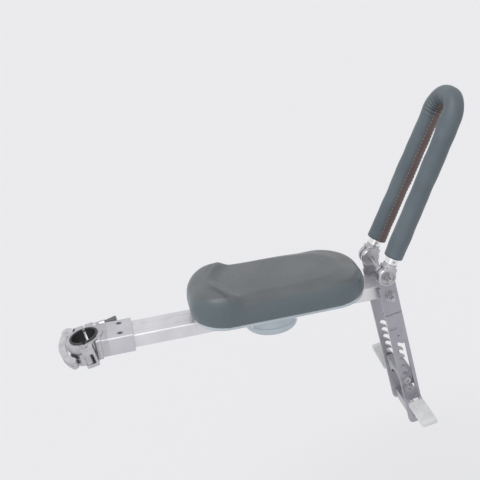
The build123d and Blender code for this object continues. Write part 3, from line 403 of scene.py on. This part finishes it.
RAIL_LINES = (6.0, 1400.0, 1400.0)
PLATE_LINES = (1200.0, 1200.0, 9.0)
SCREW_LINES = (2600.0, 400.0, 2600.0)
TUBE_LINES = (300.0, 300.0, 40.0)
TURNED_LINES = (500.0, 500.0, 60.0)
PLATE_METALLIC = 0.6
FINISHES = {  # colour, roughness, lines in patches to a metre, and radius of the edges, by slot
    "rail_aluminium": brushed_metal("satin_rail", (0.765, 0.76, 0.78), 0.40, RAIL_LINES, 0.0004),
    "cast_aluminium": cast_metal("cast_clamp", (0.585, 0.58, 0.60), 0.40, 0.0006),
    "plate_steel": brushed_metal(
        "satin_plate", (0.412, 0.40, 0.442), 0.38, PLATE_LINES, 0.0007, PLATE_METALLIC
    ),
    "bright_steel": brushed_metal(
        "bright_fastener", (0.52, 0.52, 0.535), 0.30, SCREW_LINES, 0.0003
    ),
    "handle_chrome": brushed_metal("chrome_tube", (0.92, 0.92, 0.93), 0.16, TUBE_LINES, 0.0003),
    "dark_plastic": moulded_plastic("dark_liner", (0.035, 0.037, 0.038), 0.50, 0.0003),
    "nut_plastic": moulded_plastic("fluted_nut", (0.10, 0.125, 0.115), 0.42, 0.0003),
    "grey_plastic": moulded_plastic("silver_grey_base", (0.535, 0.595, 0.645), 0.44, 0.0006),
    "footrest_plastic": moulded_plastic("pale_footrest", (0.74, 0.745, 0.745), 0.46, 0.0005),
    # Painted shade: the light grey saddle block is given the middle grey it shows in shade
    "saddle_plastic": moulded_plastic("grey_saddle_painted_shade", (0.40, 0.41, 0.42), 0.48, 0.0005),
    "insert_brass": brushed_metal("turned_brass", (0.62, 0.46, 0.20), 0.30, TURNED_LINES, 0.0002),
    "pad_rubber": moulded_plastic("pad_rubber", (0.02, 0.02, 0.02), 0.72, 0.0003, 1400.0),
    "cushion_cover": hide(
        # colour, its shadow, pebbles to a metre, roughness, and the marks of painted shade: the sides' darker,
        # bluer tint and the crease's dark line
        "cushion_hide", (0.138, 0.148, 0.153), (0.119, 0.130, 0.135), 900.0, 0.32,
        # Painted shade: the sides' darker, bluer tint, and a dark line along the crease
        (FLANK_SHADE, (0.112, 0.146, 0.161)), (CREASE_SHADE, (0.072, 0.080, 0.084)),
    ),
    "sleeve_cover": hide(
        "sleeve_hide", (0.122, 0.152, 0.171), (0.101, 0.128, 0.146), 1000.0, 0.44,
        # Painted shade: darker in the folds of the bends
        (FOLD_SHADE, (0.040, 0.048, 0.054)),
    ),
}
SEAM_LEATHER = hide(
    "seam_hide", (0.156, 0.108, 0.103), (0.130, 0.090, 0.086), 1000.0, 0.50,
    # Painted shade: darker in the folds of the bends
    (FOLD_SHADE, (0.075, 0.050, 0.048)),
)
THREAD = moulded_plastic("waxed_thread", (0.31, 0.28, 0.27), 0.6, 0.0001, 3000.0)
KNUCKLE = cast_metal("cast_knuckle", (0.57, 0.565, 0.585), 0.34, 0.0007)
NODE_FINISHES = {  # where a solid differs from the rest of its slot
    # Painted light: the far plate is a lighter copy of the plates' finish, for light on its inner face
    "left_side_plate": brushed_metal(
        "satin_far_plate_painted_light", (0.47, 0.46, 0.50), 0.38, PLATE_LINES, 0.0007, PLATE_METALLIC
    ),
    "left_knuckle": KNUCKLE,
    "right_knuckle": KNUCKLE,
    "sleeve_screws": cast_metal("dark_screw", (0.30, 0.30, 0.31), 0.36, 0.0002),
    "rail_sleeve": brushed_metal("satin_sleeve", (0.64, 0.635, 0.665), 0.42, RAIL_LINES, 0.0005),
}


def dress_nodes():
    """Give each solid its own finish, or else that of its slot in the record."""
    for row in frame["record"]["subparts"]:
        mesh = nodes[row["node"]].data
        mesh.materials.clear()
        mesh.materials.append(NODE_FINISHES.get(row["node"], FINISHES[row["material_slot"]]))


# Meshes from grids
def grid_faces(rows, columns, wrap_rows=False, wrap_columns=False):
    """Corner numbers of the quads of a grid, counted row by row."""
    row = np.arange(rows if wrap_rows else rows - 1)[:, None]
    column = np.arange(columns if wrap_columns else columns - 1)[None, :]
    next_row = (row + 1) % rows
    next_column = (column + 1) % columns
    corners = np.broadcast_arrays(
        row * columns + column,
        row * columns + next_column,
        next_row * columns + next_column,
        next_row * columns + column,
    )
    return np.stack(corners, axis=-1).reshape(-1, 4)


def piece(name, points, faces, finish, smooth=True):
    """A mesh object from points and quads, with one finish."""
    mesh = bpy.data.meshes.new(name)
    mesh.from_pydata(points.reshape(-1, 3).tolist(), [], faces.tolist())
    mesh.polygons.foreach_set("use_smooth", [smooth] * len(mesh.polygons))
    mesh.materials.append(finish)
    mesh.validate()
    thing = bpy.data.objects.new(name, mesh)
    bpy.context.scene.collection.objects.link(thing)
    return thing


def mark(mesh, name, values):
    """Store a number for each point of a mesh, for its finish to read."""
    mesh.attributes.new(name, "FLOAT", "POINT").data.foreach_set("value", np.ravel(values))


# Cushion
SEAT_LOW, SEAT_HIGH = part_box("seat_cushion")
SEAT_MIDDLE = (SEAT_LOW.x + SEAT_HIGH.x) / 2
SEAT_HALF_LENGTH = (SEAT_HIGH.x - SEAT_LOW.x) / 2 - SEAT_SWELL
SEAT_HALF_WIDTH = (SEAT_HIGH.y - SEAT_LOW.y) / 2 - SEAT_SWELL
SEAT_FLAT_TOP = SEAT_HIGH.z - SEAT_LAP_DROP


def hump_foot(y):
    """Where the hump begins, from the cushion's rear end: a hyperbola that hugs the child."""
    return HUMP_FOOT + HUMP_SPREAD * (np.hypot(y, HUMP_TURN) - HUMP_TURN)


def seat_top(x, y):
    """Height of the cushion's top: a flat lap that falls a little to the front, crowned across,
    and a hump at the rear that rises smoothly behind its foot and falls a little to the back.
    """
    rear = x - SEAT_LOW.x
    climb = np.clip((hump_foot(y) - rear) / HUMP_SLOPE, 0.0, 1.0) ** HUMP_STEEP
    back = np.clip((HUMP_BACK_RUN - rear) / HUMP_BACK_RUN, 0.0, 1.0)
    hump = HUMP_RISE * climb**2 * (3.0 - 2.0 * climb) - HUMP_BACK_FALL * back**2
    ahead = np.clip((x - SEAT_MIDDLE) / SEAT_HALF_LENGTH, 0.0, 1.0)
    crown = SEAT_CROWN * (y / SEAT_HALF_WIDTH) ** 2
    return SEAT_FLAT_TOP + hump - SEAT_FRONT_FALL * ahead**3 - crown


def plan_inset(x, y):
    """Distance inside the cushion's plan, a rectangle with round corners."""
    over_x = np.abs(x - SEAT_MIDDLE) - (SEAT_HALF_LENGTH - SEAT_CORNER)
    over_y = np.abs(y) - (SEAT_HALF_WIDTH - SEAT_CORNER)
    corner = np.hypot(np.maximum(over_x, 0.0), np.maximum(over_y, 0.0))
    return SEAT_CORNER - corner - np.minimum(np.maximum(over_x, over_y), 0.0)


def smooth_step(value, low, high):
    """0 below low and 1 above high, with a smooth cubic between."""
    share = np.clip((value - low) / (high - low), 0.0, 1.0)
    return share**2 * (3.0 - 2.0 * share)


def crease_share(points):
    """How near points are to the crease along the hump's edge, from 0 to 1, for its depth and its painted shade.

    A bell curve across a line behind the hump's foot, on the top's two sides only.
    """
    x, y, z = points.T
    across = (x - SEAT_LOW.x - hump_foot(y) + CREASE_BACK) / CREASE_WIDTH
    top = smooth_step(z, SEAT_FLAT_TOP - SEAT_TOP_ROUND, SEAT_FLAT_TOP)
    top = top * smooth_step(np.abs(y), *CREASE_FROM) * smooth_step(plan_inset(x, y), *CREASE_EDGE)
    return top * np.exp(-(across**2))


def tuck(points):
    """Draw the swollen cover's lower edge down over the base, and press the crease in.

    The edge moves by the lip, fading inwards under the cushion and upwards along its side.
    """
    x, y, z = points.T
    low = 1.0 - smooth_step(z, SEAT_LOW.z, SEAT_LOW.z + SEAT_LIP_HEIGHT)
    rim = 1.0 - smooth_step(plan_inset(x, y), *SEAT_LIP_INSET)
    down = SEAT_LIP * low * rim + CREASE_DEPTH * crease_share(points)
    return np.column_stack([x, y, z - down])


def seat_form():
    """Cushion as rings: each ring is the plan's rounded rectangle, inset by the profile's distance.

    Around, a ring is an inner box's corner plus an arc, walked by arc length. Upward, the profile
    is a flat bottom, a bottom round, a side that bulges as half a sine wave, a top round and the
    top's height.
    """
    corner = SEAT_CORNER
    long_side = 2 * (SEAT_HALF_LENGTH - corner)
    short_side = 2 * (SEAT_HALF_WIDTH - corner)
    arc = math.pi / 2 * corner
    knots = np.cumsum([0, short_side, arc, long_side, arc, short_side, arc, long_side, arc])
    walk = np.linspace(0.0, knots[-1], SEAT_COLUMNS, endpoint=False)
    side_x = np.interp(walk, knots, [1, 1, 1, -1, -1, -1, -1, 1, 1])
    side_y = np.interp(walk, knots, [-1, 1, 1, 1, 1, -1, -1, -1, -1])
    turn = np.radians(np.interp(walk, knots, [0, 0, 90, 90, 180, 180, 270, 270, 360]))

    quarter = np.linspace(0.0, math.pi / 2, SEAT_ROUND_ROWS)
    to_middle = np.linspace(0.0, 1.0, SEAT_FLAT_ROWS)[1:]
    climb = np.linspace(0.0, 1.0, SEAT_SIDE_ROWS)[1:-1]
    bottom, top = SEAT_BOTTOM_ROUND, SEAT_TOP_ROUND
    inset = np.concatenate([
        bottom + (SEAT_HALF_WIDTH - bottom) * to_middle[::-1],
        bottom * (1 - np.sin(quarter)),
        -SEAT_BULGE * np.sin(math.pi * climb),
        top * (1 - np.cos(quarter)),
        top + (SEAT_HALF_WIDTH - top) * to_middle,
    ])[:, None]
    radius = np.maximum(corner - inset, 0.0)
    x = SEAT_MIDDLE + side_x * (SEAT_HALF_LENGTH - inset - radius) + radius * np.cos(turn)
    y = side_y * (SEAT_HALF_WIDTH - inset - radius) + radius * np.sin(turn)
    crest = seat_top(x, y)
    floor = SEAT_LOW.z
    rows = np.cumsum([len(to_middle), len(quarter), len(climb), len(quarter)])
    z = np.empty_like(x)
    z[:rows[0]] = floor
    z[rows[0]:rows[1]] = floor + bottom * (1 - np.cos(quarter))[:, None]
    lower = floor + bottom
    z[rows[1]:rows[2]] = lower + climb[:, None] * (crest[rows[1]:rows[2]] - top - lower)
    z[rows[2]:rows[3]] = crest[rows[2]:rows[3]] - top * (1 - np.sin(quarter))[:, None]
    z[rows[3]:] = crest[rows[3]:]
    return np.stack([x, y, z], axis=-1)


def settle(points):
    """Put the top's points back on its formula, so that the voxels' steps don't show. The share of
    the way they go is a smooth step of the distance inside the plan.
    """
    x, y, z = points.T
    share = smooth_step(plan_inset(x, y), SEAT_TOP_ROUND, SETTLE_INSET)
    share = np.where(z > (SEAT_LOW.z + SEAT_HIGH.z) / 2, share, 0.0)
    return np.column_stack([x, y, z + share * (seat_top(x, y) - z)])


def even_out(move, edges):
    """Average each point's movement with its neighbours', again and again, to leave no dent."""
    count = np.bincount(edges.ravel(), minlength=len(move))[:, None]
    for _ in range(SWELL_EVENING):
        total = np.zeros_like(move)
        np.add.at(total, edges[:, 0], move[edges[:, 1]])
        np.add.at(total, edges[:, 1], move[edges[:, 0]])
        move = (move + total / count) / 2
    return move


def swell(thing, cap):
    """Fill a closed cover with air: voxel remesh, then cloth with pressure and no weight, with the
    flat bottom held. No point moves further than the cap. The cover is then tucked over the base,
    and marked for its finish's painted shade: on its sides and along the crease.
    """
    bpy.context.view_layer.objects.active = thing
    remesh = thing.modifiers.new("even", "REMESH")
    remesh.mode = "VOXEL"
    remesh.voxel_size = SEAT_VOXEL
    bpy.ops.object.modifier_apply(modifier="even")
    mesh = thing.data
    start = np.empty(3 * len(mesh.vertices))
    mesh.vertices.foreach_get("co", start)
    start = settle(start.reshape(-1, 3))
    held = thing.vertex_groups.new(name="held")
    low = np.flatnonzero(start[:, 2] < SEAT_LOW.z + HELD_HEIGHT)
    held.add(low.tolist(), 1.0, "ADD")
    cloth = thing.modifiers.new("air", "CLOTH")
    cloth.settings.vertex_group_mass = "held"
    cloth.settings.use_pressure = True
    cloth.settings.uniform_pressure_force = SWELL_PRESSURE
    cloth.settings.effector_weights.gravity = 0.0
    scene = bpy.context.scene
    for step in range(1, SWELL_FRAMES + 1):
        scene.frame_set(step)
    shaped = thing.evaluated_get(bpy.context.evaluated_depsgraph_get())
    end = np.empty(3 * len(mesh.vertices))
    shaped.data.vertices.foreach_get("co", end)
    edges = np.empty(2 * len(mesh.edges), dtype=np.int32)
    mesh.edges.foreach_get("vertices", edges)
    move = even_out(end.reshape(-1, 3) - start, edges.reshape(-1, 2))
    reach = np.linalg.norm(move, axis=1, keepdims=True)
    start = start + move * np.minimum(1.0, cap / np.maximum(reach, TINY))
    thing.modifiers.remove(cloth)
    thing.vertex_groups.clear()
    scene.frame_set(1)
    mesh.vertices.foreach_set("co", tuck(start).ravel())
    # Painted shade: the sides tinted darker and bluer than the top, fading in from the plan's edge
    mark(mesh, FLANK_SHADE, 1.0 - smooth_step(plan_inset(start[:, 0], start[:, 1]), *FLANK_INSET))
    # Painted shade: a dark line along the crease
    mark(mesh, CREASE_SHADE, crease_share(start))
    mesh.polygons.foreach_set("use_smooth", [True] * len(mesh.polygons))
    mesh.update()
    finer = thing.modifiers.new("finer", "SUBSURF")
    finer.levels = finer.render_levels = 1


def make_cushion():
    """The seat's cushion, swollen from its rings."""
    points = seat_form()
    rows, columns = points.shape[:2]
    cushion = piece("cushion", points, grid_faces(rows, columns, wrap_columns=True),
                    FINISHES["cushion_cover"])
    swell(cushion, SEAT_SWELL_CAP)
    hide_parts("seat_cushion")
    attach(cushion, "seat")


# Handle sleeve
HANDLE_PIVOT = np.array(joints["handle_fold"]["pos_m"])
LEAN = math.radians(HANDLE_LEAN)
HANDLE_UP = np.array([math.sin(LEAN), 0.0, math.cos(LEAN)])
HANDLE_FRONT = np.array([math.cos(LEAN), 0.0, -math.sin(LEAN)])
HANDLE_ACROSS = np.array([0.0, 1.0, 0.0])
LEG_TURN = math.atan2((LEG_SPACING_LOW - LEG_SPACING_HIGH) / 2, HANDLE_REACH - HANDLE_FOOT)
BEND_TURN = math.pi / 2 - LEG_TURN
BEND_TANGENT = HANDLE_BEND * math.tan(BEND_TURN / 2)
BEND_RUN = HANDLE_BEND * BEND_TURN
LEG_RUN = (HANDLE_REACH - SLEEVE_START) / math.cos(LEG_TURN) - BEND_TANGENT
TOP_RUN = LEG_SPACING_HIGH - 2 * BEND_TANGENT
SLEEVE_KNOTS = np.cumsum([0.0, LEG_RUN, BEND_RUN, TOP_RUN, BEND_RUN, LEG_RUN])
SLEEVE_RUN = SLEEVE_KNOTS[-1]


def loop_line(run):
    """Middle line of the loop and the direction to its inner side, at distances along the sleeve.

    The heading is steady on the legs and the top bar and turns evenly in the bends, and the line is
    the running sum of the heading's cosine and sine.
    """
    fine = np.linspace(0.0, SLEEVE_RUN, LOOP_STEPS + 1)
    steady = math.pi / 2 + LEG_TURN
    headings = [steady, steady, math.pi, math.pi, 2 * math.pi - steady, 2 * math.pi - steady]
    heading = np.interp(fine, SLEEVE_KNOTS, headings)
    middle = (heading[1:] + heading[:-1]) / 2
    step = fine[1]
    low_across = LEG_SPACING_LOW / 2 - math.tan(LEG_TURN) * (SLEEVE_START - HANDLE_FOOT)
    across = low_across + np.concatenate([[0.0], np.cumsum(np.cos(middle))]) * step
    along = SLEEVE_START + np.concatenate([[0.0], np.cumsum(np.sin(middle))]) * step
    across, along = np.interp(run, fine, across), np.interp(run, fine, along)
    heading = np.interp(run, fine, heading)
    line = HANDLE_PIVOT + across[..., None] * HANDLE_ACROSS + along[..., None] * HANDLE_UP
    inner = np.cos(heading)[..., None] * HANDLE_UP - np.sin(heading)[..., None] * HANDLE_ACROSS
    return line, inner


def sleeve_swell(run, turn):
    """How far the sleeve's surface stands out from its plain radius.

    Slow sine waves of the padding along and around, and a bell-shaped bulge on the inner rear side
    beside each bend, less the folds on the inner side of the bends.
    """
    padding = sum(
        height * np.sin(along * run + around * turn + begin)
        for height, along, around, begin in PADDING_WAVES
    )
    past = (np.abs(run - SLEEVE_RUN / 2) - TOP_RUN / 2 - BEND_RUN) / BUNCH_RUN
    side = (0.5 + 0.5 * np.cos(turn - math.radians(BUNCH_TURN))) ** BUNCH_POWER
    padding = padding + BUNCH * side * np.exp(-(past**2))
    return padding - FOLD_DEPTH * fold_share(run, turn)


def fold_share(run, turn):
    """How deep the folds are, and how much painted shade they get, from 0 to 1: a squared wave along the line,
    inside the bends.

    It grows towards the inner side, is flatter at the loop's top and dies out past the bend.
    """
    far = np.abs(run - SLEEVE_RUN / 2)
    in_bend = np.clip((TOP_RUN / 2 + BEND_RUN + FOLD_FADE - far) / FOLD_FADE, 0.0, 1.0)
    in_bend = in_bend * np.clip(far / FOLD_TOP_HALF, FOLD_TOP_SHARE, 1.0)
    inner = np.clip((np.cos(turn) + FOLD_WRAP) / (1.0 + FOLD_WRAP), 0.0, 1.0) ** FOLD_GATHER
    around, along = FOLD_SWAY_WAVES
    fold = np.cos(FOLD_WAVE * run + FOLD_SWAY * np.sin(around * turn + along * run))
    return in_bend * inner * (0.5 + 0.5 * fold) ** 2


def around_line(run, turn, radius):
    """Points round the loop's middle line, at an angle from its inner side towards its front."""
    line, inner = loop_line(run)
    out = np.cos(turn)[..., None] * inner + np.sin(turn)[..., None] * HANDLE_FRONT
    return line + radius[..., None] * out


def make_sleeve():
    """Padded sleeve: a closed tube wall along the loop, with rolled hems at its two ends.

    One parameter goes out along the padded outer face, over a half-circle hem, back along the bore
    and over the other hem; the other goes round the tube.
    """
    wall = SLEEVE_RADIUS - SLEEVE_BORE
    hem = np.linspace(0.0, math.pi, HEM_ROWS)
    half = wall / 2
    out = np.linspace(half, SLEEVE_RUN - half, SLEEVE_ROWS)
    back = out[::-BORE_SKIP]
    run = np.concatenate([
        out,
        SLEEVE_RUN - half + HEM_REACH * np.sin(hem),
        back,
        half - HEM_REACH * np.sin(hem),
    ])
    depth = np.concatenate([
        np.zeros(len(out)),
        half - half * np.cos(hem),
        np.full(len(back), wall),
        half + half * np.cos(hem),
    ])
    turn = np.linspace(0.0, 2 * math.pi, SLEEVE_COLUMNS, endpoint=False)
    run, turn = np.meshgrid(np.clip(run, 0.0, SLEEVE_RUN), turn, indexing="ij")
    share = 1.0 - depth[:, None] / wall
    radius = SLEEVE_RADIUS - depth[:, None] + sleeve_swell(run, turn) * share
    points = around_line(run, turn, radius)
    faces = grid_faces(*points.shape[:2], wrap_rows=True, wrap_columns=True)
    sleeve = piece("grip_sleeve", points, faces[:, ::-1], FINISHES["sleeve_cover"])
    # Painted shade: the folds' share, which the finish paints darker
    mark(sleeve.data, FOLD_SHADE, fold_share(run, turn) * share)
    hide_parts("handle_sleeve")
    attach(sleeve, "handle")


def make_strip():
    """Leather strip that closes the sleeve: a thin arched band carried along its inner front side.

    The band's outline is a squared-off ellipse, whose cosine goes across and whose sine goes up,
    each raised to a power; each end closes to the middle of its last outline.
    """
    profile = np.linspace(0.0, 2 * math.pi, STRIP_COLUMNS, endpoint=False)
    run = np.linspace(STRIP_END, SLEEVE_RUN - STRIP_END, SLEEVE_ROWS)
    run, profile = np.meshgrid(run, profile, indexing="ij")
    shape = np.sign(np.cos(profile)) * np.abs(np.cos(profile)) ** STRIP_FLATNESS
    turn = math.radians(STRIP_TURN) + math.radians(STRIP_HALF_ANGLE) * shape
    rise = STRIP_PROUD * np.sign(np.sin(profile)) * np.abs(np.sin(profile)) ** STRIP_ARCH
    radius = SLEEVE_RADIUS + sleeve_swell(run, turn) + rise
    points = around_line(run, turn, radius)
    ends = points[[0, -1]].mean(axis=1, keepdims=True) * np.ones((1, STRIP_COLUMNS, 1))
    points = np.concatenate([ends[:1], points, ends[1:]])
    strip = piece("grip_strip", points, grid_faces(*points.shape[:2], wrap_columns=True),
                  SEAM_LEATHER)
    plain = np.zeros((1, STRIP_COLUMNS))
    # Painted shade: the folds' share, which the strip's finish paints darker
    mark(strip.data, FOLD_SHADE, np.concatenate([plain, fold_share(run, turn), plain]))
    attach(strip, "handle")


def make_stitches():
    """Stitches along the strip's two edges: short capsules that lie along the loop.

    Along a capsule the radius is the square root of one less the fourth power of the share of its
    half length, and it sinks into the leather by the square of that share.
    """
    count = int(SLEEVE_RUN / STITCH_PITCH)
    middle = (np.arange(count) + 0.5) * SLEEVE_RUN / count
    edge = math.radians(STRIP_HALF_ANGLE - STITCH_INSET) * np.array([-1.0, 1.0])
    share = np.linspace(-1.0, 1.0, STITCH_ROWS)
    girth = np.linspace(0.0, 2 * math.pi, STITCH_COLUMNS, endpoint=False)
    middle, edge, share, girth = np.meshgrid(middle, edge, share, girth, indexing="ij")
    run = middle + STITCH_LENGTH / 2 * share
    thick = STITCH_RADIUS * np.sqrt(1.0 - share**4)
    turn = math.radians(STRIP_TURN) + edge + thick * np.cos(girth) / SLEEVE_RADIUS
    sink = STITCH_RADIUS * STITCH_SINK * share**2
    radius = SLEEVE_RADIUS + sleeve_swell(run, turn) + STRIP_PROUD + thick * np.sin(girth) - sink
    points = around_line(run, turn, radius)
    rows, columns = points.shape[2:4]
    faces = grid_faces(rows, columns, wrap_columns=True)
    each = np.arange(points.shape[0] * points.shape[1])[:, None, None] * rows * columns
    stitches = piece("grip_stitches", points, (faces[None] + each).reshape(-1, 4), THREAD)
    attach(stitches, "handle")


# Camera, floor and light
def set_camera():
    """Camera at the photograph's place, turned by its azimuth and elevation and then rolled."""
    a, e, r = (math.radians(angle) for angle in (CAMERA_AZIMUTH, CAMERA_ELEVATION, CAMERA_ROLL))
    back = Vector((math.sin(a) * math.cos(e), -math.cos(a) * math.cos(e), math.sin(e)))
    level = Vector((math.cos(a), math.sin(a), 0.0))
    rise = Vector((-math.sin(a) * math.sin(e), math.cos(a) * math.sin(e), math.cos(e)))
    across = level * math.cos(r) + rise * math.sin(r)
    upward = rise * math.cos(r) - level * math.sin(r)
    data = bpy.data.cameras.new("camera")
    data.sensor_width = SENSOR
    data.lens = FOCAL_PIXELS / IMAGE_PIXELS * SENSOR
    camera = bpy.data.objects.new("camera", data)
    turn = Matrix((across, upward, back)).transposed().to_4x4()
    camera.matrix_world = Matrix.Translation(CAMERA_PLACE) @ turn
    bpy.context.scene.collection.objects.link(camera)
    bpy.context.scene.camera = camera


def set_stage():
    """Pale floor under the seat and a world of the same grey, which the metal reflects too."""
    low = cad_box[0].z - FLOOR_DROP
    corners = np.array([(-1, -1), (1, -1), (1, 1), (-1, 1)]) * FLOOR_HALF
    points = np.column_stack([corners, np.full(4, low)])
    paint = Finish(
        "floor_paint",
        Base_Color=PALE_GREY,
        Roughness=FLOOR_ROUGHNESS,
        Specular_IOR_Level=FLOOR_SPECULAR,
    )
    floor = piece("floor", points, np.array([[0, 1, 2, 3]]), paint.material, smooth=False)
    world = bpy.data.worlds.new("studio")
    world.use_nodes = True
    bpy.context.scene.world = world
    tree = world.node_tree
    background = tree.nodes["Background"]
    background.inputs["Color"].default_value = (*PALE_GREY, 1.0)
    path = tree.nodes.new("ShaderNodeLightPath")
    rays = ("Is Camera Ray", "Is Glossy Ray", "Is Transmission Ray")
    camera_ray, glossy_ray, clear_ray = (Link(tree, path.outputs[name]) for name in rays)
    seen = (camera_ray + glossy_ray + clear_ray).math("MINIMUM", 1.0)
    join(tree, seen * (WORLD_SEEN - WORLD_FILL) + WORLD_FILL, background.inputs["Strength"])


def set_lamps():
    """Wide soft suns, each aimed from a direction above the seat."""
    for name, towards, strength, width in LAMPS:
        data = bpy.data.lights.new(name, "SUN")
        data.energy = strength
        data.angle = math.radians(width)
        lamp = bpy.data.objects.new(name, data)
        lamp.rotation_mode = "QUATERNION"
        lamp.rotation_quaternion = Vector(towards).to_track_quat("Z", "Y")
        bpy.context.scene.collection.objects.link(lamp)


dress_nodes()
make_cushion()
make_sleeve()
make_strip()
make_stitches()
set_camera()
set_stage()
set_lamps()
bpy.context.scene.view_settings.view_transform = "Standard"
